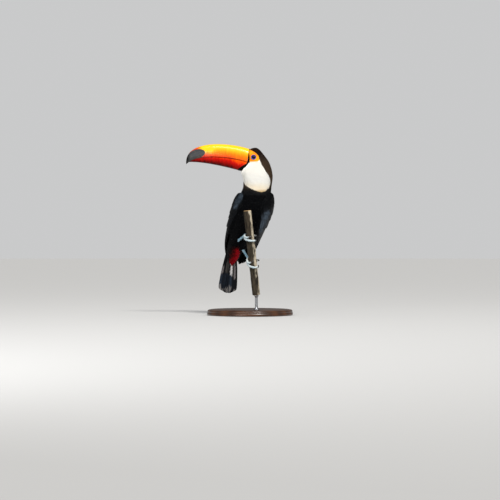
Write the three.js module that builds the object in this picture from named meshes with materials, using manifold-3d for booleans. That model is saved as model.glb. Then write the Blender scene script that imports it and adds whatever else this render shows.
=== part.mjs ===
// A toco toucan clinging to a length of upright branch, life size, on a display stand.
// Millimetres, +Z up, origin at the middle of the stand's underside. The bird's breast faces -Y,
// towards the branch, and its head is turned to its right, so that the bill points along -X.
import * as THREE from "three";
import { mergeVertices } from "three/addons/utils/BufferGeometryUtils.js";
import Module from "manifold-3d";

const wasm = await Module();
wasm.setup();

// ---- Driving dimensions ----
const GAP = 0.3; // clearance between pieces that touch
const THINNEST = 0.8; // of a wing, at its edges

const CROWN_Z = 469; // top of the head
const HEAD_Y = -4; // mid plane of the head
const HEAD_CUT_Z = 398; // where the head meets the neck
const NECK_CUT_Z = 343; // where the neck meets the trunk
const TRUNK_END_Z = 151; // lower end of the trunk, over the tail's root
const TAIL_TIP_Z = 60;

const EYE = { x: 10, z: 440, radius: 7, inset: 20.6 }; // inset: eyeball's centre from the mid plane
const BILL_HALF_WIDTH = 21.5; // at its base
const LOWER_BILL_SHARE = 0.93; // the lower bill's width as a share of the upper one's

const TARSUS_RADIUS = 3.3;
const TOE_RADIUS = 3.3;
const TOE_LENGTHS = { 1: 19, 2: 28, 3: 46, 4: 36 };
const CLAW_LENGTH = 13;

const PERCH = { bottom: 58, top: 290, radius: 10.6, leanX: -0.109, leanY: -0.06 };
const PERCH_AT = { x: 0.3, y: -66, z: 217 }; // a point on its axis, at the upper foot

const BASE = { radius: 120, height: 16, chamfer: 2 };
const ROD_RADIUS = 4;

// ---- Colours, as the finished bird has them ----
const FINISHES = {
  black: { color: 0x0b0c10, roughness: 0.55 },
  white: { color: 0xf4efe2, roughness: 0.85 },
  red: { color: 0xa80d12, roughness: 0.8 },
  orange: { color: 0xff8a0a, roughness: 0.3 },
  scarlet: { color: 0xe03a0c, roughness: 0.3 },
  eye: { color: 0x1b1210, roughness: 0.05 },
  blueGrey: { color: 0x7fa3b5, roughness: 0.6 },
  claw: { color: 0x2a2a2c, roughness: 0.4 },
  bark: { color: 0x8a7860, roughness: 0.9 },
  wood: { color: 0x3c2a1e, roughness: 0.45 },
  steel: { color: 0x8d9094, roughness: 0.35, metalness: 1 },
};
const materials = Object.fromEntries(
  Object.entries(FINISHES).map(([name, finish]) => [name, new THREE.MeshStandardMaterial(finish)]),
);

// ---- Curves ----
const lerp = THREE.MathUtils.lerp;
const radians = THREE.MathUtils.degToRad;
const vec = (x, y, z) => new THREE.Vector3(x, y, z);
const steps = (count) => Array.from({ length: count + 1 }, (_, i) => i / count);

// A smooth function through knots [place, value], listed with the place falling, that never overshoots.
function through(knots) {
  const rising = [...knots].sort((a, b) => a[0] - b[0]);
  const slopes = rising.slice(1).map((k, i) => (k[1] - rising[i][1]) / (k[0] - rising[i][0]));
  const tangents = rising.map((_, i) => {
    const before = slopes[Math.max(i - 1, 0)];
    const after = slopes[Math.min(i, slopes.length - 1)];
    return before * after <= 0 ? 0 : (2 * before * after) / (before + after);
  });
  return (place) => {
    const at = THREE.MathUtils.clamp(place, rising[0][0], rising.at(-1)[0]);
    const i = Math.min(rising.findLastIndex((k) => k[0] <= at), slopes.length - 1);
    const width = rising[i + 1][0] - rising[i][0];
    const t = (at - rising[i][0]) / width;
    const [a, b] = [rising[i][1], rising[i + 1][1]];
    const bend = (1 - t) * width * tangents[i] - t * width * tangents[i + 1];
    return lerp(a, b, t * t * (3 - 2 * t)) + t * (1 - t) * bend;
  };
}

const signedPower = (value, power) => Math.sign(value) * Math.abs(value) ** power;

// ---- Solids ----

// A closed surface through rings of points, each end closed by a fan.
function loft(rings) {
  const sides = rings[0].length;
  const centre = (ring) => ring.reduce((sum, p) => sum.add(p), vec(0, 0, 0)).divideScalar(sides);
  const points = [...rings.flat(), centre(rings[0]), centre(rings.at(-1))];
  const [firstCentre, lastCentre] = [points.length - 2, points.length - 1];
  const lastRing = (rings.length - 1) * sides;
  const index = [];
  for (let s = 0; s < sides; s++) {
    const next = (s + 1) % sides;
    index.push(firstCentre, next, s, lastCentre, lastRing + s, lastRing + next);
    for (let r = 0; r < rings.length - 1; r++) {
      const [a, b, c, d] = [r * sides + s, r * sides + next, (r + 1) * sides + s, (r + 1) * sides + next];
      index.push(a, b, d, a, d, c);
    }
  }
  const made = new THREE.BufferGeometry().setFromPoints(points).setIndex(index);
  return turnedOut(made);
}

// The same surface with its faces pointing out.
function turnedOut(geometry) {
  const [p, index] = [geometry.getAttribute("position"), geometry.index.array];
  const [a, b, c] = [vec(0, 0, 0), vec(0, 0, 0), vec(0, 0, 0)];
  let volume = 0;
  for (let i = 0; i < index.length; i += 3) {
    a.fromBufferAttribute(p, index[i]);
    b.fromBufferAttribute(p, index[i + 1]);
    c.fromBufferAttribute(p, index[i + 2]);
    volume += a.dot(b.cross(c));
  }
  if (volume < 0) index.reverse();
  return geometry;
}

// A round tube along a path, with a radius that may change on the way.
function tube(path, radius, sides, rings) {
  const up = vec(0.13, 0.21, 0.97);
  return loft(
    steps(rings).map((t) => {
      const step = 0.01;
      const along = path(Math.min(t + step, 1)).sub(path(Math.max(t - step, 0))).normalize();
      const across = vec(0, 0, 0).crossVectors(along, up).normalize();
      const over = vec(0, 0, 0).crossVectors(across, along);
      return Array.from({ length: sides }, (_, s) => {
        const angle = (2 * Math.PI * s) / sides;
        return path(t)
          .addScaledVector(across, radius(t) * Math.cos(angle))
          .addScaledVector(over, radius(t) * Math.sin(angle));
      });
    }),
  );
}

function solidOf(geometry) {
  const bare = geometry.clone();
  bare.deleteAttribute("normal");
  bare.deleteAttribute("uv");
  const merged = mergeVertices(bare, 1e-3);
  const mesh = new wasm.Mesh({
    numProp: 3,
    vertProperties: merged.getAttribute("position").array,
    triVerts: new Uint32Array(merged.index.array),
  });
  return new wasm.Manifold(mesh);
}

function geometryOf(solid) {
  const mesh = solid.getMesh();
  return new THREE.BufferGeometry()
    .setAttribute("position", new THREE.BufferAttribute(new Float32Array(mesh.vertProperties), 3))
    .setIndex(new THREE.BufferAttribute(new Uint32Array(mesh.triVerts), 1));
}

// A cutter: the solid with its surface moved out by the gap that touching pieces keep.
function grown(solid) {
  const geometry = geometryOf(solid);
  geometry.computeVertexNormals();
  const [p, n] = [geometry.getAttribute("position"), geometry.getAttribute("normal")];
  for (let i = 0; i < p.count; i++) {
    p.setXYZ(i, p.getX(i) + GAP * n.getX(i), p.getY(i) + GAP * n.getY(i), p.getZ(i) + GAP * n.getZ(i));
  }
  return solidOf(geometry);
}

// What is left of a solid outside others, with the gap between them; crumbs of the cut are dropped.
function outside(solid, ...others) {
  const left = others.reduce((rest, other) => rest.subtract(grown(other)).subtract(other), solid);
  return left.decompose().reduce((most, body) => (body.volume() > most.volume() ? body : most));
}

// ---- Head, neck and trunk ----

// Outlines of the body without its wings, by height: the sides seen from the front (X), and the
// breast and back seen from the side (Y).
const body = {
  left: through([
    [CROWN_Z, 15], [467, 5], [461, -8], [445, -14], [424, -16], [405, -30], [390, -23], [362, -19],
    [347, -24], [325, -39.5], [287, -48], [224, -61], [180, -67], [160, -66], [TRUNK_END_Z, -60],
  ]),
  right: through([
    [CROWN_Z, 17], [467.5, 21], [461.5, 28.5], [447.5, 40], [431, 52], [415, 59], [390, 64], [365, 62],
    [348, 60], [330, 61], [315, 60], [277, 50], [236, 28], [200, 3], [170, -24], [TRUNK_END_Z, -45],
  ]),
  front: through([
    [CROWN_Z, HEAD_Y - 1], [467, -14], [462, -21], [450, -27.5], [435, -30.5], [410, -33], [360, -37],
    [320, -45], [295, -47.5], [270, -44], [245, -35], [220, -21.5], [200, -8], [180, 9],
    [165, 24], [TRUNK_END_Z, 42],
  ]),
  back: through([
    [CROWN_Z, HEAD_Y + 1], [467, 6], [462, 13], [450, 19.5], [435, 22.5], [410, 25], [385, 28],
    [360, 33], [345, 39], [320, 50], [295, 59], [270, 65], [245, 69], [195, 72.5], [175, 72],
    [TRUNK_END_Z, 62],
  ]),
};

// Outlines of the folded wings' outer surface, by height.
const folded = {
  left: through([
    [347, -26], [331, -40], [313, -48], [287, -54], [259, -61], [224, -68], [196, -71], [163, -71],
    [140, -66],
  ]),
  right: through([
    [347, 60], [330, 65.5], [317, 68], [300, 65.5], [277, 58], [236, 40], [215, 29], [184, 15],
    [165, 4], [153, -5], [140, -12],
  ]),
  front: through([
    [347, -38], [320, -46.5], [295, -49.5], [270, -46.5], [245, -39], [220, -28], [200, -15],
    [180, 2], [140, 26],
  ]),
  back: through([[347, 42], [320, 57], [295, 66], [270, 71], [220, 76], [175, 81], [140, 81]]),
};

// A point of the surface that four outlines describe: at a height, and at an angle seen from above.
function onSurface(outlines, z, angle, inset = 0) {
  const power = 2 / 2.25;
  const [left, right, front, back] = ["left", "right", "front", "back"].map((side) => outlines[side](z));
  const [halfX, halfY] = [(right - left) / 2 - inset, (back - front) / 2 - inset];
  return vec(
    (left + right) / 2 + Math.max(halfX, 0.2) * signedPower(Math.cos(angle), power),
    (front + back) / 2 + Math.max(halfY, 0.2) * signedPower(Math.sin(angle), power),
    z,
  );
}

const BODY_SIDES = 22;
const bodyPiece = (heights) =>
  solidOf(
    loft(
      heights.map((z) =>
        Array.from({ length: BODY_SIDES }, (_, s) => onSurface(body, z, (2 * Math.PI * s) / BODY_SIDES)),
      ),
    ),
  );

// Heights crowd together towards a rounded end, so that the end comes out round.
const roundedTo = (end, flat, count) =>
  steps(count).map((t) => end + (flat - end) * (1 - Math.cos((Math.PI / 2) * Math.max(t, 0.06))));

const headBlank = bodyPiece(roundedTo(CROWN_Z, HEAD_CUT_Z + GAP / 2, 9));
const neck = bodyPiece(steps(4).map((t) => lerp(HEAD_CUT_Z - GAP / 2, NECK_CUT_Z + GAP / 2, t)));
const trunk = bodyPiece(roundedTo(TRUNK_END_Z, NECK_CUT_Z - GAP / 2, 13));

// ---- Bill ----

// Its profile, in the head's mid plane: the culmen on top, the line where it closes, and the keel.
const profile = (...points) => {
  const curve = new THREE.CubicBezierCurve(...points.map(([x, z]) => new THREE.Vector2(x, z)));
  return (t) => curve.getPoint(t);
};
const culmen = profile([1, 463.5], [-55, 483.5], [-185, 493], [-178.5, 422]);
const upperEdge = profile([1, 424], [-42, 441], [-150, 453], [-178.3, 421.8]);
const lowerEdge = profile([1, 423.3], [-42, 440.4], [-143, 452], [-171.5, 428.6]);
const keel = profile([-22, 402], [-72, 415.5], [-130, 429], [-171, 428]);
const billWidth = through([
  [0, 1], [0.25, 0.96], [0.5, 0.81], [0.7, 0.6], [0.85, 0.38], [0.95, 0.17], [1, 0.05],
]);

// Half of the bill: an arch over its closing edge, as wide there as the bill is.
function arch(edge, ridge, share, sides, rings) {
  return solidOf(
    loft(
      steps(rings).map((t) => {
        const [low, high] = [edge(t), ridge(t)];
        const half = BILL_HALF_WIDTH * share * billWidth(t);
        const at = (across, up) =>
          vec(lerp(low.x, high.x, up), HEAD_Y + half * across, lerp(low.y, high.y, up));
        const over = steps(sides).map((s) =>
          at(signedPower(Math.cos(Math.PI * s), 0.78), Math.abs(Math.sin(Math.PI * s)) ** 0.86),
        );
        return [...over, at(0, 0)];
      }),
    ),
  );
}
const billUpperBlank = arch(upperEdge, culmen, 1, 12, 14);
const billLower = outside(arch(lowerEdge, keel, LOWER_BILL_SHARE, 8, 10), billUpperBlank);

// ---- Eyes ----
const eyeBall = (side) =>
  solidOf(
    new THREE.SphereGeometry(EYE.radius, 12, 8).translate(EYE.x, HEAD_Y + side * EYE.inset, EYE.z),
  );
const [eyeLeft, eyeRight] = [eyeBall(-1), eyeBall(1)];
const head = outside(headBlank, billUpperBlank, billLower, eyeLeft, eyeRight);

// ---- Wings ----

// A folded wing lies round the body's side. Its front and rear edges are angles seen from above, in
// degrees from +X, by height.
const leftWing = {
  top: 339,
  tip: 141,
  front: through([
    [339, -30], [325, -54], [300, -62], [245, -58], [215, -44], [190, -26], [165, -8], [156, 6],
    [148, 40], [141, 68],
  ]),
  rear: through([
    [339, 5], [325, 30], [300, 48], [245, 56], [215, 62], [190, 72], [165, 80], [148, 85], [141, 82],
  ]),
};
const rightWing = {
  top: 341,
  tip: 149,
  front: through([
    [341, 205], [325, 234], [300, 230], [245, 214], [215, 202], [190, 188], [170, 168], [158, 146],
    [149, 124],
  ]),
  rear: through([
    [341, 180], [325, 150], [300, 134], [245, 124], [215, 116], [190, 106], [165, 99], [149, 108],
  ]),
};
const wingThickness = through([
  [341, 5], [325, 9], [245, 9], [215, 8], [190, 6.5], [165, 4.5], [150, 3], [141, 1.8],
]);

function foldedWing(shape) {
  const columns = 7;
  const heights = steps(13).map((t) => lerp(shape.top, shape.tip, t));
  const rings = heights.map((z) => {
    const angle = (u) => radians(lerp(shape.front(z), shape.rear(z), u));
    const taper = (u) => Math.max(THINNEST, wingThickness(z) * (0.18 + 0.82 * Math.sin(Math.PI * u) ** 0.4));
    const across = steps(columns);
    const outer = across.map((u) => onSurface(folded, z, angle(u), (wingThickness(z) - taper(u)) * 0.35));
    const inner = across.map((u) => onSurface(folded, z, angle(u), wingThickness(z) * 0.12 + taper(u)));
    return [...outer, ...inner.reverse()];
  });
  return solidOf(loft(rings));
}
const wingLeft = outside(foldedWing(leftWing), trunk, neck);
const wingRight = outside(foldedWing(rightWing), trunk, neck);

// ---- Tail and its coverts ----

// A flattened tongue of feathers along an axis, with its underside towards the breast's side.
function tongue({ from, to, yaw, halfWidth, halfDepth, sides, rings }) {
  const along = to.clone().sub(from).normalize();
  const across = vec(Math.cos(yaw), -Math.sin(yaw), 0).projectOnPlane(along).normalize();
  const through3 = vec(0, 0, 0).crossVectors(along, across);
  return solidOf(
    loft(
      steps(rings).map((t) => {
        const centre = from.clone().lerp(to, t);
        return Array.from({ length: sides }, (_, s) => {
          const angle = (2 * Math.PI * s) / sides;
          return centre
            .clone()
            .addScaledVector(across, halfWidth(t) * signedPower(Math.cos(angle), 0.8))
            .addScaledVector(through3, halfDepth(t) * Math.sin(angle));
        });
      }),
    ),
  );
}

const TAIL_YAW = radians(10);
const undertail = outside(
  tongue({
    from: vec(-41, 6, 200),
    to: vec(-52, 60, 138),
    yaw: TAIL_YAW,
    halfWidth: through([[0, 15], [0.25, 18.5], [0.55, 16.5], [0.8, 10.5], [0.95, 5], [1, 2]]),
    halfDepth: through([[0, 12], [0.4, 13], [0.75, 8], [1, 2]]),
    sides: 12,
    rings: 7,
  }),
  trunk,
);
const uppertail = outside(
  tongue({
    from: vec(-33, 66, 226),
    to: vec(-54, 81, 136),
    yaw: TAIL_YAW,
    halfWidth: through([[0, 8], [0.25, 17], [0.6, 19], [0.85, 13], [1, 4]]),
    halfDepth: through([[0, 4], [0.3, 7.5], [0.7, 7], [1, 2]]),
    sides: 12,
    rings: 7,
  }),
  trunk,
  wingLeft,
  wingRight,
);
const tail = outside(
  tongue({
    from: vec(-47, 54, 200),
    to: vec(-63.5, 82, TAIL_TIP_Z),
    yaw: TAIL_YAW,
    halfWidth: through([[0, 15], [0.45, 20], [0.65, 24.5], [0.85, 24], [0.94, 17.5], [1, 6]]),
    halfDepth: through([[0, 6], [0.45, 4.5], [0.8, 2.6], [1, 1.2]]),
    sides: 12,
    rings: 11,
  }),
  trunk,
  undertail,
  uppertail,
  wingLeft,
  wingRight,
);

// ---- Perch and stand ----
const perchAxis = (z) =>
  vec(PERCH_AT.x + PERCH.leanX * (z - PERCH_AT.z), PERCH_AT.y + PERCH.leanY * (z - PERCH_AT.z), z);
const around = (z, radius, angle) =>
  perchAxis(z).add(vec(radius * Math.cos(angle), radius * Math.sin(angle), 0));

// Knots stand out a little where twigs have dropped off.
const PERCH_KNOTS = [104, 181, 262];
const PERCH_SIDES = 16;
function branchLength() {
  const knot = (z, at) => 0.05 * Math.exp(-(((z - at) / 7) ** 2));
  const taper = (z) => (0.04 * (PERCH_AT.z - z)) / PERCH_AT.z;
  const radius = (z) => PERCH.radius * PERCH_KNOTS.reduce((sum, at) => sum + knot(z, at), 1 + taper(z));
  const ring = (z) =>
    Array.from({ length: PERCH_SIDES }, (_, s) => around(z, radius(z), (2 * Math.PI * s) / PERCH_SIDES));
  return solidOf(loft(steps(11).map((t) => ring(lerp(PERCH.bottom, PERCH.top, t)))));
}
const perch = branchLength();
const perchFoot = perchAxis(PERCH.bottom);

const standBase = solidOf(
  new THREE.LatheGeometry(
    [
      [0, 0],
      [BASE.radius, 0],
      [BASE.radius, BASE.height - BASE.chamfer],
      [BASE.radius - BASE.chamfer, BASE.height],
      [0, BASE.height],
    ].map(([r, y]) => new THREE.Vector2(r, y)),
    48,
  ).rotateX(Math.PI / 2),
);
const rodHeight = PERCH.bottom - BASE.height - 2 * GAP;
const standRod = solidOf(
  new THREE.CylinderGeometry(ROD_RADIUS, ROD_RADIUS, rodHeight, 16)
    .rotateX(Math.PI / 2)
    .translate(perchFoot.x, perchFoot.y, BASE.height + GAP + rodHeight / 2),
);

// ---- Legs ----

// Each foot's ball sits behind the perch, at an angle seen from above. Toes 2 and 3 go round one way
// and across the front; toes 1 and 4 go round the other way. drop is how far a toe climbs down before
// it turns up again a little towards its claw.
const legs = {
  right: {
    hip: vec(-24, 2, 236),
    heel: vec(-34, -21, 205),
    ball: { z: 223, angle: 148 },
    toes: [
      { number: 2, turn: 1, rise: 3, drop: 10 },
      { number: 3, turn: 1, rise: -5, drop: 11 },
      { number: 4, turn: -1, rise: 3.5, drop: 4.5 },
      { number: 1, turn: -1, rise: -5.5, drop: 4 },
    ],
  },
  left: {
    hip: vec(-6, 6, 212),
    heel: vec(-21, -15, 180),
    ball: { z: 160, angle: 142 },
    toes: [
      { number: 2, turn: 1, rise: 3, drop: 17 },
      { number: 3, turn: 1, rise: -5, drop: 21.5 },
      { number: 4, turn: -1, rise: 0, drop: 7 },
      { number: 1, turn: -1, rise: -9.5, drop: 4 },
    ],
  },
};
const GRIP = PERCH.radius * 1.06 + TOE_RADIUS + GAP; // how far a toe's middle is from the perch's axis

// A place along a toe: distance from its root, in millimetres, counted round the perch.
const onToe = (leg, toe, distance, lift = 0) => {
  const length = TOE_LENGTHS[toe.number];
  const angle = radians(leg.ball.angle) + (toe.turn * distance) / GRIP;
  const fallen = toe.drop * Math.sin((Math.PI / 2) * (distance / length / 0.8));
  return around(leg.ball.z + toe.rise * Math.min(1, 0.35 + distance / 12) - fallen, GRIP + lift, angle);
};

function makeLeg(side, leg) {
  const ballAt = around(leg.ball.z, GRIP + 0.8, radians(leg.ball.angle));
  const shank = tube(
    (t) => leg.hip.clone().lerp(leg.heel, t),
    through([[0, 16], [0.5, 13], [0.85, 7.5], [1, 4.6]]),
    12,
    5,
  );
  const thigh = outside(solidOf(shank), trunk, undertail, wingLeft, wingRight);
  const overHeel = leg.heel.clone().lerp(leg.hip, 0.08);
  const shin = tube(
    (t) => overHeel.clone().lerp(ballAt, t),
    through([[0, 4.2], [0.12, 4.2], [0.3, TARSUS_RADIUS], [0.8, TARSUS_RADIUS], [1, 4.3]]),
    8,
    6,
  );
  const ball = new THREE.SphereGeometry(4.6, 8, 6).translate(ballAt.x, ballAt.y, ballAt.z);
  const tarsus = outside(solidOf(shin).add(solidOf(ball)), perch, thigh, trunk);

  const pieces = [[`thigh_${side}`, thigh, "black"], [`tarsus_${side}`, tarsus, "blueGrey"]];
  const made = [];
  for (const toe of leg.toes) {
    const length = TOE_LENGTHS[toe.number];
    const knuckles = (t) => 1 + 0.07 * Math.cos(2 * Math.PI * 3 * t);
    const finger = tube(
      (t) => onToe(leg, toe, lerp(2, length, t)),
      (t) => TOE_RADIUS * lerp(1, 0.74, t) * knuckles(t),
      7,
      Math.round(length / 6),
    );
    const solid = outside(solidOf(finger), tarsus, perch, ...made);
    // The claw leaves the toe's tip and hooks in over the bark.
    const claw = tube(
      (t) => onToe(leg, toe, length - 1.5 + CLAW_LENGTH * t, 1.2 * Math.sin(Math.PI * t) - 1.6 * t),
      (t) => lerp(2.3, 0.55, t ** 0.8),
      5,
      4,
    );
    made.push(solid);
    pieces.push([`toe_${side}_${toe.number}`, solid, "blueGrey"]);
    pieces.push([`claw_${side}_${toe.number}`, solidOf(claw), "claw", solid]);
  }
  // Claws are trimmed last, by every toe of the foot.
  return pieces.map(([name, solid, finish, own]) =>
    own ? [name, outside(solid, perch, ...made), finish] : [name, solid, finish],
  );
}

// ---- The whole ----
const group = new THREE.Group();
function put(name, solid, finish) {
  const mesh = new THREE.Mesh(geometryOf(solid), materials[finish]);
  mesh.name = name;
  group.add(mesh);
}

put("head", head, "black");
put("neck", neck, "white");
put("trunk", trunk, "black");
put("bill_upper", billUpperBlank, "orange");
put("bill_lower", billLower, "scarlet");
put("eye_left", eyeLeft, "eye");
put("eye_right", eyeRight, "eye");
put("wing_left", wingLeft, "black");
put("wing_right", wingRight, "black");
put("undertail_coverts", undertail, "red");
put("uppertail_coverts", uppertail, "white");
put("tail", tail, "black");
for (const [side, leg] of Object.entries(legs)) {
  makeLeg(side, leg).forEach(([name, solid, finish]) => put(name, solid, finish));
}
put("perch", perch, "bark");
put("stand_base", standBase, "wood");
put("stand_rod", standRod, "steel");

export default group;
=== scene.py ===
"""A life-size toco toucan clinging to a cut length of branch, on a display stand.

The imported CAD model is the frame. One skin replaces its nodes of flesh, and a coat of closed,
overlapping vanes lies over that skin. Lengths are in millimetres until a mesh is made.
"""

import math

import bmesh
import bpy
import numpy as np
from mathutils import Matrix, Vector
from mathutils.bvhtree import BVHTree


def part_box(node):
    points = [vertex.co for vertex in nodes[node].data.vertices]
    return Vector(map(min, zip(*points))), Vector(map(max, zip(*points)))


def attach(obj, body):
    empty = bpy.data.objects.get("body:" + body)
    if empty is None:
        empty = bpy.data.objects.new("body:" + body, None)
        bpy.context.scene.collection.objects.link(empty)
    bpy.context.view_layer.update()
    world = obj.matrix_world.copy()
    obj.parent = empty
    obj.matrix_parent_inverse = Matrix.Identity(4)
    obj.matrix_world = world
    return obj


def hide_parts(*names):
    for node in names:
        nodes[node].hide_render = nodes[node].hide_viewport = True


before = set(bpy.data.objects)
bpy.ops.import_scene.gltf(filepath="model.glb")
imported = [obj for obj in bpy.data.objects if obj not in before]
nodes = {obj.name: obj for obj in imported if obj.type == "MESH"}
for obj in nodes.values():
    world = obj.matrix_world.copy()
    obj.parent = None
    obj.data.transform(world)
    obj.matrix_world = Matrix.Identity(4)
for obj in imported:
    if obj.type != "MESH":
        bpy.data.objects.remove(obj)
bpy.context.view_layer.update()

MM = 0.001
SIDES = ("left", "right")
SIGN = {"left": 1, "right": -1}  # a side's way along X
TOES = (1, 2, 3, 4)

# ---- Colours, as sRGB ----
PALETTE = {
    "black": "#030408",
    "black_gloss": "#05070b",
    # A grey sheen painted on the wings' front, a painted reflection of the sky.
    "wing_sheen": "#46525f",
    "crown": "#29170e",
    "nape": "#4c3b2a",
    "bib": "#fcf9f2",
    "bib_shade": "#fbeed6",
    "bib_edge": "#dcbf8d",
    "bib_top": "#faf5ec",
    "bib_lip": "#fbcfa0",
    "red": "#b00612",
    # Darker and brighter reds that paint shadow and sunlight on the red under the tail.
    "red_painted_shadow": "#1a0304",
    "red_painted_shade": "#560507",
    "red_painted_sunlit": "#cf0a22",
    "rump": "#fdf9ef",
    "face": "#ff9d0c",
    "face_deep": "#f58504",
    "ring": "#4256ac",
    "ring_deep": "#2e2a7c",
    # A deeper red with painted shade on it, for the bill's keel.
    "bill_shadow": "#4c0202",
    "bill_red": "#c40c02",
    "bill_vermilion": "#ec4604",
    "bill_orange": "#fc7e04",
    "bill_yellow": "#ffc61a",
    "bill_stain": "#6e0503",
    "bill_tip": "#0a0908",
    "band": "#060607",
    "oval": "#404143",
    "oval_low": "#3d3a37",
    "oval_pale": "#5f5a50",
    "iris": "#22100a",
    "iris_rim": "#0c0504",
    "pupil": "#010101",
    "worn": "#6d6862",
    "worn_pale": "#918d8a",
    # A bluish sheen painted on the tail's underside.
    "tail_sheen": "#3c4a5c",
    # Pale streaks of sheen painted on the tail's underside.
    "sheen_streak_dim": "#45423f",
    "streak": "#7d7778",
    "sheen_streak_pale": "#f2efee",
    "foot": "#76a6be",
    "foot_pale": "#e6e8e2",
    "foot_pad": "#a39c8c",
    "claw": "#1c1d20",
    "claw_base": "#54524f",
    "claw_streak": "#5a5856",
    "bark": "#2b2318",
    "bark_pale": "#423a2e",
    # Sunlight painted on the branch's lit side.
    "bark_sunny": "#c6baa3",
    "bark_olive": "#282417",
    "bark_dark": "#15110c",
    "sawn": "#b08a5c",
    "sawn_pale": "#d6b586",
    "sawn_core": "#6b4a2b",
    "walnut": "#5a3519",
    "walnut_dark": "#1d0f08",
}


def paint(name):
    """A palette colour as linear light."""
    code = PALETTE[name].lstrip("#")
    srgb = np.array([int(code[i : i + 2], 16) / 255 for i in (0, 2, 4)])
    return np.where(srgb <= 0.04045, srgb / 12.92, ((srgb + 0.055) / 1.055) ** 2.4)


# ---- Arithmetic on arrays ----


def step(low, high, value):
    """0 before low, 1 past high, smooth between them. low may be the greater."""
    t = np.clip((value - low) / (high - low), 0, 1)
    return t * t * (3 - 2 * t)


def mix(a, b, share):
    """a where share is 0, b where it is 1. For colours, share may be one number for each."""
    share = np.asarray(share, float)
    if np.ndim(a) > 0 and share.ndim and np.shape(a)[-1] == 3 and share.shape[-1:] != (3,):
        share = share[..., None]
    return a + (b - a) * share


def unit(vectors):
    return vectors / np.maximum(np.linalg.norm(vectors, axis=-1, keepdims=True), 1e-9)


def dot(a, b):
    return (a * b).sum(-1)


def signed_power(value, power):
    return np.sign(value) * np.abs(value) ** power


def full_turn(count):
    """Angles all the way round, the last one short of the first."""
    return np.linspace(0, 2 * math.pi, count, endpoint=False)


def soften(table):
    """Draws each row but the end ones towards its neighbours, in place."""
    table[1:-1] = (table[:-2] + 2 * table[1:-1] + table[2:]) / 4


def only(where, points, value):
    """value(points) where a condition holds, and 0 elsewhere."""
    out = np.zeros(len(points))
    if where.any():
        out[where] = value(points[where])
    return out


def through(*knots):
    """A smooth function through knots (place, value) that never overshoots."""
    places, values = np.array(sorted(knots), float).T
    slopes = np.diff(values) / np.diff(places)
    before, after = np.r_[slopes[0], slopes], np.r_[slopes, slopes[-1]]
    turns = before * after <= 0
    tangents = np.where(turns, 0, 2 * before * after / np.where(turns, 1, before + after))

    def at(place):
        place = np.clip(place, places[0], places[-1])
        i = np.clip(np.searchsorted(places, place, side="right") - 1, 0, len(slopes) - 1)
        width = places[i + 1] - places[i]
        t = (place - places[i]) / width
        bend = t * (1 - t) * ((1 - t) * tangents[i] - t * tangents[i + 1]) * width
        return mix(values[i], values[i + 1], t * t * (3 - 2 * t)) + bend

    return at


def ramp(place, *stops):
    """A colour for each place, from stops (place, colour) in rising order."""
    places = [p for p, _ in stops]
    colours = np.array([paint(c) for _, c in stops])
    return np.stack([np.interp(place, places, colours[:, i]) for i in range(3)], -1)


LATTICE = 32


def ripple(points, size, seed):
    """Smooth noise from about -1 to 1 at points, with features about size across."""
    lattice = np.random.default_rng(seed).uniform(-1, 1, (LATTICE, LATTICE, LATTICE))
    spots = np.zeros((len(points), 3))
    spots[:, : np.shape(points)[-1]] = points / size + 500.5
    cells = np.floor(spots).astype(int)
    t = spots - cells
    t = t * t * (3 - 2 * t)
    total = np.zeros(len(points))
    for corner in np.ndindex(2, 2, 2):
        share = np.prod(np.where(corner, t, 1 - t), axis=1)
        total += lattice[tuple(((cells + corner) % LATTICE).T)] * share
    return total * 1.4


def rough(points, size, seed, octaves=4):
    """Noise with finer and finer features, from about -1 to 1."""
    return sum(ripple(points, size / 2**i, seed + i) * 0.55**i for i in range(octaves)) / 1.6


# ---- Meshes ----


def volume(points, faces):
    """The volume that faces close in, negative where they are turned inwards."""
    fans = [(faces[:, 0], faces[:, i], faces[:, i + 1]) for i in range(1, faces.shape[1] - 1)]
    return sum(dot(points[a], np.cross(points[b], points[c])).sum() for a, b, c in fans) / 6


def make_piece(name, points, *face_sets, smooth=True):
    """A mesh object from points in millimetres and arrays of faces, each of one size, turned outwards."""
    points = np.asarray(points, float)
    if sum(volume(points, faces) for faces in face_sets) < 0:
        face_sets = [faces[:, ::-1] for faces in face_sets]
    mesh = bpy.data.meshes.new(name)
    corners = np.concatenate([faces.ravel() for faces in face_sets])
    sizes = np.concatenate([np.full(len(faces), faces.shape[1]) for faces in face_sets])
    starts = np.cumsum(sizes) - sizes
    mesh.vertices.add(len(points))
    mesh.vertices.foreach_set("co", (points * MM).astype(np.float32).ravel())
    mesh.loops.add(len(corners))
    mesh.loops.foreach_set("vertex_index", corners.astype(np.int32))
    mesh.polygons.add(len(sizes))
    mesh.polygons.foreach_set("loop_start", starts.astype(np.int32))
    mesh.polygons.foreach_set("use_smooth", np.full(len(sizes), smooth))
    mesh.update(calc_edges=True)
    piece = bpy.data.objects.new(name, mesh)
    bpy.context.scene.collection.objects.link(piece)
    return piece


def set_colours(piece, name, colours):
    values = np.concatenate([colours, np.ones((len(colours), 1))], 1).astype(np.float32)
    layer = piece.data.attributes.get(name) or piece.data.attributes.new(name, "FLOAT_COLOR", "POINT")
    layer.data.foreach_set("color", values.ravel())


def colours_of(piece, name):
    flat = np.empty(len(piece.data.vertices) * 4, np.float32)
    piece.data.attributes[name].data.foreach_get("color", flat)
    return flat.reshape(-1, 4)[:, :3].astype(float)


def set_vectors(piece, name, vectors):
    layer = piece.data.attributes.new(name, "FLOAT_VECTOR", "POINT")
    layer.data.foreach_set("vector", vectors.astype(np.float32).ravel())


def set_map(piece, name, places):
    """A UV map from one place for each vertex."""
    loops = np.empty(len(piece.data.loops), np.int32)
    piece.data.loops.foreach_get("vertex_index", loops)
    layer = piece.data.uv_layers.new(name=name)
    layer.data.foreach_set("uv", places[loops].astype(np.float32).ravel())


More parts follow.
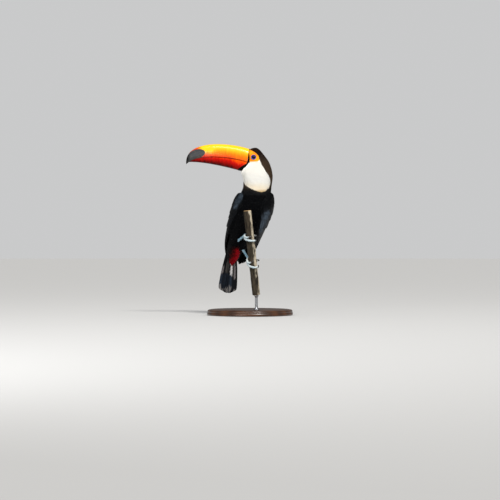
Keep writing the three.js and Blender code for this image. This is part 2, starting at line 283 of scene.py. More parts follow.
def points_of(mesh):
    """A mesh's points, in millimetres."""
    flat = np.empty(len(mesh.vertices) * 3, np.float32)
    mesh.vertices.foreach_get("co", flat)
    return flat.reshape(-1, 3).astype(float) / MM


def normals_of(mesh):
    flat = np.empty(len(mesh.vertices) * 3, np.float32)
    mesh.vertex_normals.foreach_get("vector", flat)
    return flat.reshape(-1, 3).astype(float)


def faces_of(mesh):
    return [list(polygon.vertices) for polygon in mesh.polygons]


def keep(piece, slot, *replaced):
    """Puts a finished piece on the model."""
    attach(piece, "root")
    if replaced:
        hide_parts(*replaced)
    return piece


def grid_faces(rows, columns, closed):
    """Quads over a grid of points, row by row; closed joins the last column to the first."""
    r, c = np.meshgrid(np.arange(rows - 1), np.arange(columns - (not closed)), indexing="ij")
    r, c = r.ravel(), c.ravel()
    n = (c + 1) % columns
    return np.stack([r * columns + c, r * columns + n, (r + 1) * columns + n, (r + 1) * columns + c], 1)


def closing(rows, columns):
    """Quads that join a closed grid's last row back to its first."""
    c = np.arange(columns)
    n = (c + 1) % columns
    return np.stack([(rows - 1) * columns + c, (rows - 1) * columns + n, n, c], 1)


def spun(profile, columns):
    """Rings of (cosine, sine, distance), from a profile of (radius, distance along the axis)."""
    turn = full_turn(columns)
    radius, along = np.array(profile, float).T[..., None]
    return np.stack([radius * np.cos(turn), radius * np.sin(turn), along + np.zeros(columns)], -1)


def lathe_like(name, rings):
    """A closed piece through rings of points, with a fan at each end."""
    rows, columns, _ = rings.shape
    points = np.concatenate([rings.reshape(-1, 3), rings[0].mean(0)[None], rings[-1].mean(0)[None]])
    first, last = rows * columns, rows * columns + 1
    c = np.arange(columns)
    n = (c + 1) % columns
    start = np.stack([np.full(columns, first), n, c], 1)
    end = np.stack([np.full(columns, last), (rows - 1) * columns + c, (rows - 1) * columns + n], 1)
    return make_piece(name, points, grid_faces(rows, columns, True), np.concatenate([start, end]))


def grown_copy(bm, node, grow, keep_past_x=None):
    """Adds a CAD node to bm, its surface moved out, and cut off below an X where one is given."""
    part = bmesh.new()
    part.from_mesh(nodes[node].data)
    bmesh.ops.remove_doubles(part, verts=part.verts, dist=1e-6)
    if keep_past_x is not None:
        everything = [*part.verts, *part.edges, *part.faces]
        plane = (keep_past_x * MM, 0, 0)
        bmesh.ops.bisect_plane(part, geom=everything, plane_co=plane, plane_no=(1, 0, 0), clear_inner=True)
        bmesh.ops.holes_fill(part, edges=[e for e in part.edges if e.is_boundary])
    bmesh.ops.recalc_face_normals(part, faces=part.faces)
    part.normal_update()
    for vertex in part.verts:
        vertex.co += vertex.normal * grow * MM
    made = bpy.data.meshes.new("part")
    part.to_mesh(made)
    part.free()
    bm.from_mesh(made)
    bpy.data.meshes.remove(made)


def melted(names, voxel, rounds, grow=0.5, stubs=(), stub_x=0.0):
    """A smooth closed mesh round CAD nodes: stubs are nodes of which only what lies past stub_x counts."""
    bm = bmesh.new()
    for name in names:
        grown_copy(bm, name, grow)
    for name in stubs:
        grown_copy(bm, name, 0.0, stub_x)
    mesh = bpy.data.meshes.new("melting")
    bm.to_mesh(mesh)
    bm.free()
    holder = bpy.data.objects.new("melting", mesh)
    bpy.context.scene.collection.objects.link(holder)
    remesh = holder.modifiers.new("remesh", "REMESH")
    remesh.mode = "VOXEL"
    remesh.voxel_size = voxel * MM
    smooth = holder.modifiers.new("smooth", "SMOOTH")
    smooth.factor = 0.5
    smooth.iterations = rounds
    result = bpy.data.meshes.new_from_object(holder.evaluated_get(bpy.context.evaluated_depsgraph_get()))
    bpy.data.objects.remove(holder)
    bpy.data.meshes.remove(mesh)
    return result


# ---- Materials ----


class Look:
    """A Principled material, whose patterns are made by nodes that its methods add."""

    def __init__(self, name, **constants):
        self.material = bpy.data.materials.new(name)
        self.material.use_nodes = True
        self.tree = self.material.node_tree
        self.shader = self.tree.nodes["Principled BSDF"]
        for socket, value in constants.items():
            title = socket.replace("_", " ").title().replace("Ior", "IOR")
            self.shader.inputs[title].default_value = value

    def node(self, kind, settings=None, **inputs):
        """A node of that kind. An input goes by its name, or by its number after a _, and its value is
        a number, a colour or another node's output."""
        made = self.tree.nodes.new("ShaderNode" + kind)
        for key, value in (settings or {}).items():
            setattr(made, key, value)
        for key, value in inputs.items():
            self.feed(made.inputs[int(key[1:]) if key[0] == "_" else key.title()], value)
        return made

    def feed(self, socket, value):
        if isinstance(value, bpy.types.NodeSocket):
            self.tree.links.new(value, socket)
        else:
            socket.default_value = value

    def vane(self):
        """Where each point is on its own part: along it, across it, and a number of its own."""
        return self.node("Attribute", {"attribute_name": "vane"}).outputs["Vector"]

    def tint(self):
        """The colour that each point carries."""
        return self.node("Attribute", {"attribute_name": "tint"}).outputs["Color"]

    def math(self, operation, a, b=0.0):
        return self.node("Math", {"operation": operation}, _0=a, _1=b).outputs[0]

    def plus(self, a, b):
        return self.math("ADD", a, b)

    def times(self, a, b):
        return self.math("MULTIPLY", a, b)

    def noise(self, scale, vector, detail=3.0, roughness=0.55):
        """Noise from 0 to 1 over a vector."""
        made = self.node("TexNoise", vector=vector, scale=scale, detail=detail, roughness=roughness)
        return made.outputs["Fac"]

    def cells(self, scale):
        """How far each place is from the edge of its cell."""
        settings = {"feature": "DISTANCE_TO_EDGE"}
        made = self.node("TexVoronoi", settings, vector=self.place(), scale=scale)
        return made.outputs["Distance"]

    def stretched(self, vector, x, y, z):
        """A vector with its axes scaled."""
        made = self.node("VectorMath", {"operation": "MULTIPLY"}, _0=vector)
        made.inputs[1].default_value = (x, y, z)
        return made.outputs[0]

    def place(self):
        return self.node("TexCoord").outputs["Object"]

    def band(self, value, low, high, to_low=0.0, to_high=1.0):
        """value taken from low..high to to_low..to_high, and held at the ends."""
        made = self.node("MapRange", {"clamp": True}, _0=value, _1=low, _2=high, _3=to_low, _4=to_high)
        return made.outputs[0]

    def blend(self, share, a, b):
        """Colour a where share is 0, b where it is 1."""
        made = self.node("Mix", {"data_type": "RGBA", "clamp_factor": True})
        for socket, value in ((0, share), (6, a), (7, b)):
            flat = [*value, 1.0] if isinstance(value, np.ndarray) else value
            self.feed(made.inputs[socket], flat)
        return made.outputs[2]

    def bump(self, height, strength, distance):
        made = self.node("Bump", strength=strength, distance=distance * MM, height=height)
        self.feed(self.shader.inputs["Normal"], made.outputs[0])

    def set(self, socket, value):
        self.feed(self.shader.inputs[socket], value)

    def shade_tint(self, shade):
        """Makes the points' colours, darkened by a shade, the base colour."""
        made = self.node("VectorMath", {"operation": "SCALE"}, _0=self.tint())
        self.feed(made.inputs["Scale"], shade)
        self.set("Base Color", made.outputs[0])

    def on(self, piece):
        piece.data.materials.clear()
        piece.data.materials.append(self.material)
        return piece


BARB_SLANT = 0.9  # how far down a vane a barb runs for each millimetre across
BARB_WANDER = 7.0  # how far its noise shifts a barb, in radians


def plumage(name, roughness, sheen, barb, darkest=0.78, **constants):
    """Feathers: their tint, shaded between barbs that slant from each vane's middle. A barb is barb wide,
    and darkest is the shade between two."""
    look = Look(name, roughness=roughness, sheen_weight=sheen, sheen_roughness=0.4, **constants)
    parts = look.node("SeparateXYZ", vector=look.vane())
    across = look.math("ABSOLUTE", parts.outputs[1])
    slant = look.math("SUBTRACT", parts.outputs[0], look.times(across, BARB_SLANT))
    wander = look.noise(260.0, look.place(), 2.0)
    phase = look.plus(look.times(slant, 2 * math.pi / barb), look.times(wander, BARB_WANDER))
    barbs = look.math("SINE", phase)
    look.shade_tint(look.band(barbs, -1.0, 1.0, darkest, 1.0))
    look.bump(barbs, 0.2, 0.1)
    return look


# ---- Where things are: places worked out from the frame ----


def centre_of(node):
    low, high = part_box(node)
    return np.array((low + high) / 2) / MM


def box_of(node):
    return [np.array(corner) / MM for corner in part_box(node)]


EYES = {side: centre_of(f"eye_{side}") for side in SIDES}
EYE_RADIUS = (box_of("eye_left")[1][0] - box_of("eye_left")[0][0]) / 2
MID_Y = (EYES["left"][1] + EYES["right"][1]) / 2
EYE_X, EYE_Z = EYES["left"][0], EYES["left"][2]
NECK_END = box_of("neck")[0][2]
BILL_BASE_X = box_of("bill_upper")[1][0]
CROWN_Z = box_of("head")[1][2]
TRUNK_END_Z = box_of("trunk")[0][2]


RING_BREADTH, RING_POINTS = 12, 20  # a ring of a solid's points has more than these


def section_table():
    """The body's centre and half breadths by height, from the rings of its solids."""
    rows = []
    for name in ("trunk", "neck", "head"):
        points = points_of(nodes[name].data)
        heights = np.round(points[:, 2], 1)
        for z in np.unique(heights):
            ring = points[heights == z]
            low, high = ring.min(0), ring.max(0)
            if min(high[:2] - low[:2]) > RING_BREADTH and len(ring) > RING_POINTS:
                rows.append([z, *((low + high) / 2)[:2], *((high - low) / 2)[:2]])
    rows = sorted(rows)
    kept = [row for i, row in enumerate(rows) if i == 0 or row[0] - rows[i - 1][0] > 0.5]
    return np.array(kept).T


SECTIONS = section_table()


def section(z):
    """Centre x, centre y, half x and half y of the body at each height."""
    return [np.interp(z, SECTIONS[0], row) for row in SECTIONS[1:]]


def azimuth(points):
    """The angle of points round the body, in degrees from +X, seen from above."""
    x, y, half_x, half_y = section(points[:, 2])
    return np.degrees(np.arctan2((points[:, 1] - y) / half_y, (points[:, 0] - x) / half_x))


def unwrapped(points):
    """A place from 0 to 1 each way for each point, on the body's surface rolled out flat."""
    u = (azimuth(points) + 180) / 360
    low, high = TRUNK_END_Z - 20, CROWN_Z + 4
    v = (points[:, 2] - low) / (high - low)
    return np.stack([u, v], 1)


# ---- Markings, shared by the skin and the coat ----

# By height above the eye: the bib's middle, as an angle round the neck, and how far it reaches
# to each side of that. The neck is twisted, so that the bib winds from the throat to the breast.
bib_middle = through(
    (-96, -70), (-90, -75), (-85, -79), (-74, -92), (-60, -115.8), (-40, -149.5), (-29, -163.5),
    (-18, -174), (-5, -180),
)
bib_reach = through(
    (-97, 0), (-93.6, 19), (-89.4, 31), (-85.2, 43), (-74, 62), (-60, 79.5), (-40, 95.5), (-29, 101),
    (-18, 97.5), (-5, 98),
)
BIB_END = -97  # above the eye
# The bare face's upper and lower edges, above the eye, by the distance behind it.
FACE_BACK = 16.5
face_top = through((-16, 27), (-7, 20.5), (4, 14), (12.4, 6), (15.2, -1), (FACE_BACK, -6))
face_bottom = through((-16, -12.4), (8, -11.8), (13, -10), (FACE_BACK, -6))


def bareness(points):
    """1 on the bare skin of the face, 0 in the plumage."""
    x, z = points[:, 0] - EYE_X, points[:, 2] - EYE_Z
    inside = np.minimum(np.minimum(face_top(x) - z, z - face_bottom(x)), FACE_BACK - x)
    sideways = np.abs(points[:, 1] - MID_Y)
    return step(-0.7, 0.7, inside) * step(5, 8, sideways)


def bibness(points):
    """How far inside the white bib points are, in millimetres or so; negative outside it."""
    z = points[:, 2] - EYE_Z
    turn = (azimuth(points) - bib_middle(z) + 180) % 360 - 180
    _, _, half_x, half_y = section(points[:, 2])
    sideways = np.radians(bib_reach(z) - np.abs(turn)) * (half_x + half_y) / 2
    above_edge = face_bottom(points[:, 0] - EYE_X) - z
    return np.minimum(np.minimum(sideways, above_edge + 3), z - BIB_END)


def tree_of(*names):
    """A search tree over CAD nodes, in millimetres."""
    bm = bmesh.new()
    for name in names:
        bm.from_mesh(nodes[name].data)
    bm.transform(Matrix.Scale(1 / MM, 4))
    tree = BVHTree.FromBMesh(bm)
    bm.free()
    return tree


def near(*names):
    """A function giving each point's distance from CAD nodes."""
    tree = tree_of(*names)
    return lambda points: np.array([tree.find_nearest(p)[3] for p in points])


def inside_of(*names):
    """A function that says how far inside CAD nodes points are; negative outside."""
    trees = [tree_of(name) for name in names]
    way = Vector((0.31, 0.87, 0.38)).normalized()

    def within(tree, point):
        """Whether a line out from the point leaves the solid once more than it enters."""
        crossings, spot = 0, point
        while True:
            hit, _, _, _ = tree.ray_cast(spot, way)
            if hit is None:
                return crossings % 2 == 1
            crossings += 1
            spot = hit + way * 1e-3

    def depth(points):
        out = np.empty(len(points))
        for i, point in enumerate(points):
            closest = [tree.find_nearest(point)[3] for tree in trees]
            inside = any(within(tree, Vector(point)) for tree in trees)
            out[i] = max(closest) if inside else -min(closest)
        return out

    return depth


in_bill = inside_of("bill_upper", "bill_lower")
in_undertail = inside_of("undertail_coverts")
in_uppertail = inside_of("uppertail_coverts")


def axis_of(node):
    """The way a long node points: from its high end to its low one."""
    points = points_of(nodes[node].data)
    middle = points.mean(0)
    _, _, ways = np.linalg.svd(points - middle, full_matrices=False)
    return ways[0] if ways[0][2] < 0 else -ways[0]


def tail_frame():
    """The tail's axes: across, through it towards the back, and down its length, with its extents."""
    points = points_of(nodes["tail"].data)
    down = axis_of("tail")
    middle = points.mean(0)
    _, _, ways = np.linalg.svd(points - middle, full_matrices=False)
    across = ways[1] if ways[1][0] > 0 else -ways[1]
    across = unit(across - down * dot(across, down))
    back = np.cross(across, down)
    back = back if back[1] > 0 else -back
    reach = (points - middle) @ down
    return middle, across, back, down, reach.min(), reach.max()


TAIL_BACK = tail_frame()[2]
RUMP_MIDDLE = centre_of("uppertail_coverts")
RED_TOP = 190  # the height where the red undertail coverts start
TONGUES_TOP = TRUNK_END_Z + 95  # the height under which both tongues of tail coverts lie


def low_down(points, value, top=TONGUES_TOP):
    """value(points) under a height, and 0 above it."""
    return only(points[:, 2] < top, points, value)


def dark_feathers(height):
    """Black on the body, dark brown on the nape, and browner black on the crown."""
    black = mix(paint("black"), paint("nape"), step(-98, -66, height))
    return mix(black, paint("crown"), step(-22, 12, height))


def bib_feathers(points, height):
    """White, yellower towards the bib's lower end and orange along the bare face."""
    bib = mix(paint("bib_edge"), paint("bib_shade"), step(-96, -86, height + ripple(points, 14, 5) * 2))
    bib = mix(bib, paint("bib"), step(-88, -64, height + ripple(points, 20, 6) * 4))
    bib = mix(bib, paint("bib_top"), step(-60, -14, height) * 0.8)
    below = face_bottom(points[:, 0] - EYE_X) - height
    return mix(bib, paint("bib_lip"), step(4.5, 1.0, below) * 0.8)


def red_feathers(points):
    """Red with painted shade and sunlight: darkest, as painted shadow, on the tongue's inner side, towards
    the belly and the tail's right edge, and brightest, as painted sunlight, towards its other edge.
    """
    # rim runs from the shaded side of the red to its sunlit edge, for the painted shade and sunlight.
    rim = points[:, 0] - 0.536 * (points[:, 2] - 165) + 2.5 * ripple(points, 9, 7)
    return ramp(rim, (-62, "red_painted_shadow"), (-53, "red_painted_shade"), (-47, "red"), (-41, "red_painted_sunlit"))


def redness(points):
    """1 in the red under the tail, 0 elsewhere."""
    red = low_down(points, lambda p: step(-3.0, -1.6, in_undertail(p) + 0.4 * ripple(p, 5, 9)))
    return red * step(RED_TOP + 3, RED_TOP - 3, points[:, 2] + 2 * ripple(points, 6, 10))


def whiteness(points):
    """1 in the white over the tail, 0 elsewhere."""
    return low_down(
        points, lambda p: step(-4, -1, in_uppertail(p)) * step(-1, 3, (p - RUMP_MIDDLE) @ TAIL_BACK)
    )


def markings(points):
    """The plumage's colour at each point."""
    height = points[:, 2] - EYE_Z
    colour = mix(dark_feathers(height), bib_feathers(points, height), step(-0.6, 0.6, bibness(points)))
    red = redness(points)
    colour = mix(colour, red_feathers(points), red)
    return mix(colour, paint("rump"), whiteness(points) * (1 - red))


# ---- The skin ----

COAT_DEPTH = {"face": 0.9, "head": 1.5, "body": 2.9}
FLESH = ["head", "neck", "trunk", "thigh_left", "thigh_right", "undertail_coverts", "uppertail_coverts"]


def coat_depth(points):
    """How far the skin lies inside the CAD solids."""
    depth = mix(COAT_DEPTH["body"], COAT_DEPTH["head"], step(-110, -40, points[:, 2] - EYE_Z))
    return mix(depth, COAT_DEPTH["face"], bareness(points))


def make_skin():
    """One closed skin in place of all flesh, inside it by the coat's depth."""
    grow = 0.5
    bills = ("bill_upper", "bill_lower")
    mesh = melted([*FLESH, "eye_left", "eye_right"], 1.7, 14, grow, bills, BILL_BASE_X - 12)
    points, normals = points_of(mesh), normals_of(mesh)
    moved = points - normals * (coat_depth(points) + grow)[:, None]
    faces = np.array(faces_of(mesh))
    bpy.data.meshes.remove(mesh)
    skin = make_piece("skin", moved, faces)
    bare = bareness(points)
    tone = mix(paint("face_deep"), paint("face"), step(-0.6, 0.6, ripple(points, 6, 8)))
    colours = mix(markings(points), tone, bare)
    by_bill = only(points[:, 0] < BILL_BASE_X + 3, points, lambda p: step(-1.3, -0.6, in_bill(p)))
    set_colours(skin, "tint", mix(colours, paint("band"), by_bill))
    set_vectors(skin, "vane", np.stack([points[:, 2], np.zeros(len(points)), bare], 1))
    return skin


def skin_look():
    """Bare skin where the face has it, and dull down under the coat elsewhere."""
    look = Look("bare_skin", roughness=0.5, specular_ior_level=0.1)
    look.set("Base Color", look.tint())
    folds = look.noise(300.0, look.place(), 3.0)
    pebbles = look.band(look.cells(1100.0), 0.0, 0.3)
    look.bump(look.plus(pebbles, folds), 0.6, 0.3)
    return look


skin = make_skin()
skin_look().on(skin)
keep(skin, "plumage", *FLESH)

SKIN_POINTS = points_of(skin.data)
SKIN_TREE = BVHTree.FromPolygons([Vector(p) for p in SKIN_POINTS], faces_of(skin.data))
skin.data.calc_loop_triangles()
SKIN_TRIANGLES = np.array([triangle.vertices[:] for triangle in skin.data.loop_triangles])

# ---- The coat: laying feathers ----

PATCH = 0.003  # a feather's size on its piece's map
BODY_RADIUS = 18  # of the curve by which a feather's outer strands sink
STRAND_OVERLAP = 1.9  # how much wider strands are than if they lay edge to edge
BRIGHTEST = 0.96  # no feather is lighter, as linear light
FEW_SPACING, MANY_SPACING = 1.0, 1.35  # powers that space a vane's columns, when few and when many


def follow(roots, lies, lengths, stations, stiff):
    """Points down the middle of each feather, walked over the skin, and the skin's normals there.
    A stiff feather runs on straight towards its tip instead of bending with the skin."""
    count = len(stations)
    spots = np.zeros((len(roots), count, 3))
    normals = np.zeros_like(spots)
    here, heading = roots.copy(), lies.copy()
    for i, share in enumerate(stations):
        gap = (share - (stations[i - 1] if i else 0)) * lengths
        target = here + heading * gap[:, None]
        for n, point in enumerate(target):
            spots[n, i], normals[n, i], _, _ = SKIN_TREE.find_nearest(point)
        if i:
            heading = unit(spots[:, i] - here + heading * 0.01)
            heading = unit(heading - normals[:, i] * dot(heading, normals[:, i])[:, None])
        here = spots[:, i]
    at = stations * stiff
    straight = roots[:, None] + lies[:, None] * (lengths[:, None] * stations)[..., None]
    return mix(spots, straight, at[None]), unit(mix(normals, normals[:, :1], at[None]))


def fray(spots, normals, widths, stations, strands, rng):
    """Splits each feather into strands that fan out side by side, shorter towards its edges. Gives the
    strands' middles and normals, how far along the feather each station is, and how far they sink."""
    count = len(spots)
    tangents = unit(np.gradient(spots, axis=1))
    sides = unit(np.cross(tangents, normals))
    slots = np.linspace(-1, 1, strands) + rng.uniform(-0.5, 0.5, (count, strands)) / strands
    reach = (1 - 0.26 * slots**2) * rng.uniform(0.92, 1.06, (count, strands))
    at = stations * reach[..., None]
    i = np.clip(np.searchsorted(stations, at) - 1, 0, len(stations) - 2)
    share = (at - stations[i]) / (stations[i + 1] - stations[i])
    rows = np.arange(count)[:, None, None]

    def read(table):
        return mix(table[rows, i], table[rows, i + 1], share)

    spread = np.interp(at, (0, 0.4, 0.75, 1), (0.25, 0.9, 1.0, 0.85))
    offset = slots[..., None] * widths[:, None, None] / 2 * spread
    middles = read(spots) + read(sides) * offset[..., None]
    sink = offset**2 / (2 * BODY_RADIUS)
    shape = (count * strands, len(stations))
    ups = read(normals).reshape(*shape, 3)
    return middles.reshape(*shape, 3), ups, at.reshape(shape), sink.reshape(shape)


def vane_ring(columns, thick, quill):
    """A vane's cross-section: how far across each of its points is, and how far up."""
    top = signed_power(np.linspace(-1, 1, columns), FEW_SPACING if columns < 7 else MANY_SPACING)
    under = top[-2:0:-1]
    level = np.concatenate([1 - top**2, under**2 - 1]) * thick / 2
    level[:columns] += quill * np.exp(-((top / 0.12) ** 2))
    return np.concatenate([top, under]), level


def vane_faces(count, rings, around):
    """Quads and end fans of closed vanes, each a root point, its rings, and a tip point."""
    block = rings * around + 2
    quads = grid_faces(rings, around, True) + 1
    c = np.arange(around)
    n = (c + 1) % around
    start = np.stack([np.zeros(around, int), n + 1, c + 1], 1)
    last = 1 + (rings - 1) * around
    end = np.stack([np.full(around, block - 1), last + c, last + n], 1)
    shift = (np.arange(count) * block)[:, None, None]
    fans = np.concatenate([start, end])
    return (quads[None] + shift).reshape(-1, 4), (fans[None] + shift).reshape(-1, 3)


def lay(name, spots, normals, widths, heights, outline, tints, places, chance, thick=0.3, camber=0.12,
        columns=3, tilt=None, quill=0.0, root_shade=0.28, fringe=0.0, variety=0.14):
    """A piece of closed vanes. spots and normals run down each vane's middle, heights lift them off the
    surface, and outline gives the half width at each station as a share of the full one. A vane is
    darker by fade at its root, a painted shade where the vanes over it cover it, lighter by fringe at
    its edge, and by variety either way as a whole."""
    count, stations, _ = spots.shape
    middle = spots + normals * heights[..., None]
    tangents = unit(np.gradient(middle, axis=1))
    sides = unit(np.cross(tangents, normals))
    ups = unit(np.cross(sides, tangents))
    if tilt is not None:
        cos, sin = np.cos(tilt[:, None, None]), np.sin(tilt[:, None, None])
        sides, ups = sides * cos + ups * sin, ups * cos - sides * sin
    half = widths[:, None] / 2 * outline
    ring, level = vane_ring(columns, thick, quill)
    across = half[:, 1:-1, None] * ring
    up = level - camber * half[:, 1:-1, None] * ring**2
    rings = middle[:, 1:-1, None] + sides[:, 1:-1, None] * across[..., None]
    rings = rings + ups[:, 1:-1, None] * up[..., None]
    points = np.concatenate([middle[:, :1], rings.reshape(count, -1, 3), middle[:, -1:]], 1)
    piece = make_piece(name, points.reshape(-1, 3), *vane_faces(count, stations - 2, len(ring)))

    along = np.linalg.norm(np.diff(middle, axis=1), axis=2).cumsum(1)
    along = np.concatenate([np.zeros((count, 1)), along], 1)
    spread = np.concatenate([along[:, :1], np.repeat(along[:, 1:-1], len(ring), 1), along[:, -1:]], 1)
    sideways = np.pad(across.reshape(count, -1), ((0, 0), (1, 1)))
    share = spread / along[:, -1:]
    vane = np.stack([spread, sideways, np.repeat(chance[:, None], spread.shape[1], 1)], 2)
    set_vectors(piece, "vane", vane.reshape(-1, 3))
    # Painted shade: each vane darkens towards its root, which the vanes over it cover.
    depth = (1 - root_shade * step(0.7, 0.0, share))[..., None]
    tone = (1 + variety * (2 * chance - 1))[:, None, None]
    rim = np.maximum(np.abs(sideways) / np.maximum(widths[:, None] / 2, 1e-6), share**6)
    tone = tone * (1 + fringe * rim**3)[..., None]
    set_colours(piece, "tint", np.minimum(tints[:, None, :] * depth * tone, BRIGHTEST).reshape(-1, 3))
    patch = np.stack([sideways / widths[:, None] * PATCH, (share - 0.5) * PATCH], 2)
    set_map(piece, "OFBake", np.clip(places[:, None, :] + patch, 0.001, 0.999).reshape(-1, 2))
    return piece


BARELY = 0.02  # a share under which a feather is not wanted
TRIES = 5  # for each feather that there would be room for


def scatter(wanted, spacing, seed):
    """Roots over the skin, at least spacing apart, where wanted(points) is above a half."""
    rng = np.random.default_rng(seed)
    a, b, c = (SKIN_POINTS[SKIN_TRIANGLES[:, i]] for i in range(3))
    areas = np.linalg.norm(np.cross(b - a, c - a), axis=1) / 2
    centres = (a + b + c) / 3
    areas = np.where(wanted(centres) > BARELY, areas, 0)
    tries = int(areas.sum() / spacing**2 * TRIES)
    chosen = rng.choice(len(areas), tries, p=areas / areas.sum())
    s, t = rng.uniform(0, 1, (2, tries))
    over = s + t > 1
    s, t = np.where(over, 1 - s, s), np.where(over, 1 - t, t)
    spots = a[chosen] + (b - a)[chosen] * s[:, None] + (c - a)[chosen] * t[:, None]
    spots = spots[wanted(spots) > 0.5]
    return spots[thinned(spots, spacing)]


def thinned(spots, spacing):
    """Which spots stay when each that lies nearer than spacing to a kept one goes."""
    cells = np.floor(spots / spacing).astype(int)
    taken, kept = {}, []
    around = list(np.ndindex(3, 3, 3))

    def crowded(cell, spot):
        for i, j, k in around:
            for other in taken.get((cell[0] + i - 1, cell[1] + j - 1, cell[2] + k - 1), ()):
                if sum((p - q) ** 2 for p, q in zip(spot, other)) < spacing**2:
                    return True
        return False

    for i, (cell, spot) in enumerate(zip(map(tuple, cells.tolist()), spots.tolist())):
        if not crowded(cell, spot):
            taken.setdefault(cell, []).append(spot)
            kept.append(i)
    return kept


BODY_LIE = unit(centre_of("tail") - centre_of("neck"))
HEAD_LIE = unit(np.array([0.78, 0.0, -0.62]))
UNDERTAIL_LIE, UPPERTAIL_LIE = axis_of("undertail_coverts"), axis_of("uppertail_coverts")
near_thighs = near("thigh_left", "thigh_right")


def lie_at(points, normals, wander, clump, seed, lie):
    """Which way feathers rooted at points lie: back over the head, then down the body, or along a given
    way. They wander singly, and together in clumps of about a centimetre."""
    lies = mix(np.tile(BODY_LIE, (len(points), 1)), HEAD_LIE, step(-75, -20, points[:, 2] - EYE_Z))
    if lie is not None:
        lies = unit(np.tile(lie, (len(points), 1)) + lies * 0.15)
    lies = unit(lies - normals * dot(lies, normals)[:, None])
    turn = np.random.default_rng(seed).normal(size=len(points)) * wander + ripple(points, 9, seed) * clump
    return lies * np.cos(turn)[:, None] + np.cross(normals, lies) * np.sin(turn)[:, None]


STRAND_STATIONS = np.array((0.0, 0.38, 0.78, 1.0))
STRAND = np.array((0.0, 1.0, 0.78, 0.0))
FAN_STATIONS = np.array((0.0, 0.3, 0.65, 1.0))
STRAND_THICK = 0.24


def feathered(name, wanted, spacing, length, width, lift, look, seed, strands=1, wander=0.1, clump=0.15,
              lie=None, root=0.6, grow=None, root_shade=0.28, stiff=0.0, variety=0.14, seen=0.75):
    """A coat piece over the part of the skin where wanted(points) holds. Each feather is one strand, or
    a fan of them, and grow(points) gives its size as a share of the full one. It starts root deep in the
    skin, and its colour is the marking as far down it as seen says, as a share of its length."""
    rng = np.random.default_rng(seed + 2)
    roots = scatter(wanted, spacing, seed)
    normals = np.array([SKIN_TREE.find_nearest(root)[1] for root in roots])
    if lie is not None:
        # Where the surface faces along the lie, at a tongue's end, feathers would stick out sideways.
        kept = np.abs(normals @ lie) < 0.85
        roots, normals = roots[kept], normals[kept]
    lies = lie_at(roots, normals, wander, clump, seed + 1, lie)
    size = rng.uniform(0.85, 1.15, len(roots)) * (grow(roots) if grow else 1)
    widths = width * size * rng.uniform(0.9, 1.1, len(roots))
    stations = FAN_STATIONS if strands > 1 else STRAND_STATIONS
    spots, ups = follow(roots, lies, length * size, stations, stiff)
    places, chance = unwrapped(roots), rng.uniform(0, 1, len(roots))
    tints = markings(mix(roots, spots[:, -1], seen))
    lifts = lift * rng.uniform(0.8, 1.15, len(roots)) * size**0.5
    at, sink = np.tile(stations, (len(roots), 1)), 0
    if strands > 1:
        spots, ups, at, sink = fray(spots, ups, widths, stations, strands, rng)
        widths = np.repeat(widths, strands) / strands * STRAND_OVERLAP
        places, tints, lifts = (np.repeat(a, strands, 0) for a in (places, tints, lifts))
        chance = np.repeat(chance, strands) * 0.65 + rng.uniform(0, 0.35, len(widths))
    heights = -root + (root + lifts)[:, None] * at**0.75 - sink
    piece = lay(name, spots, ups, widths, heights, STRAND, tints, places, chance, thick=STRAND_THICK,
                root_shade=root_shade, variety=variety)
    keep(look.on(piece), "plumage")


def in_head(points):
    return step(-103, -97, points[:, 2] - EYE_Z)


def feather_zone(points, wanted):
    """wanted, less the bare face and what the bill covers."""
    covered = only(points[:, 0] < BILL_BASE_X + 4, points, lambda p: step(-0.5, 0.1, in_bill(p)))
    return wanted * (1 - bareness(points)) * (1 - covered)


def bib_zone(points):
    return feather_zone(points, step(-0.5, 0.5, bibness(points)))


def crown_zone(points):
    return feather_zone(points, in_head(points) * step(0.5, -0.5, bibness(points)))


def red_zone(points):
    return low_down(points, lambda p: step(-1.8, -1.3, in_undertail(p)), TRUNK_END_Z + 60)


def rump_zone(points):
    return low_down(points, lambda p: step(-1.8, -1.3, in_uppertail(p)))


def thigh_zone(points):
    return low_down(points, lambda p: step(4.2, 3.8, near_thighs(p)), TRUNK_END_Z + 100)


def under_wing(points):
    """1 where a wing lies over the skin."""
    trees = [tree_of(f"wing_{side}") for side in SIDES]
    out = np.zeros(len(points))
    x, y, _, _ = section(points[:, 2])
    for i in np.flatnonzero(points[:, 2] < NECK_END + 10):
        way = Vector((points[i, 0] - x[i], points[i, 1] - y[i], 0)).normalized()
        start = Vector(points[i]) - way
        out[i] = any(tree.ray_cast(start, way, 30)[0] for tree in trees)
    return out


def body_zone(points):
    other = np.maximum(np.maximum(red_zone(points), rump_zone(points)), thigh_zone(points))
    zone = (1 - in_head(points)) * (1 - other)
    return zone * (1 - only(zone > BARELY, points, under_wing))


def in_front(points):
    """1 on the half of the body that faces the viewer, 0 on the other."""
    return (azimuth(points) < 5) * (azimuth(points) > -175)


def breast_zone(points):
    return body_zone(points) * in_front(points)


def back_zone(points):
    return body_zone(points) * (1 - in_front(points))


def above_nape(points):
    return step(-41, -39, points[:, 2] - EYE_Z)


def head_growth(points):
    """Feathers are smallest by the face and the bill, and grow down the neck."""
    ahead = np.hypot(points[:, 0] - EYE_X, (points[:, 2] - EYE_Z) * 0.8)
    return 0.55 + 0.5 * step(14, 70, ahead)


def body_growth(points):
    return 0.8 + 0.3 * step(350, 250, points[:, 2])


def undertail_growth(points):
    """The red feathers shorten towards the tongue's end, so that it ends bluntly."""
    end = box_of("undertail_coverts")[0][2]
    return 0.5 + 0.5 * step(end, end + 26, points[:, 2])


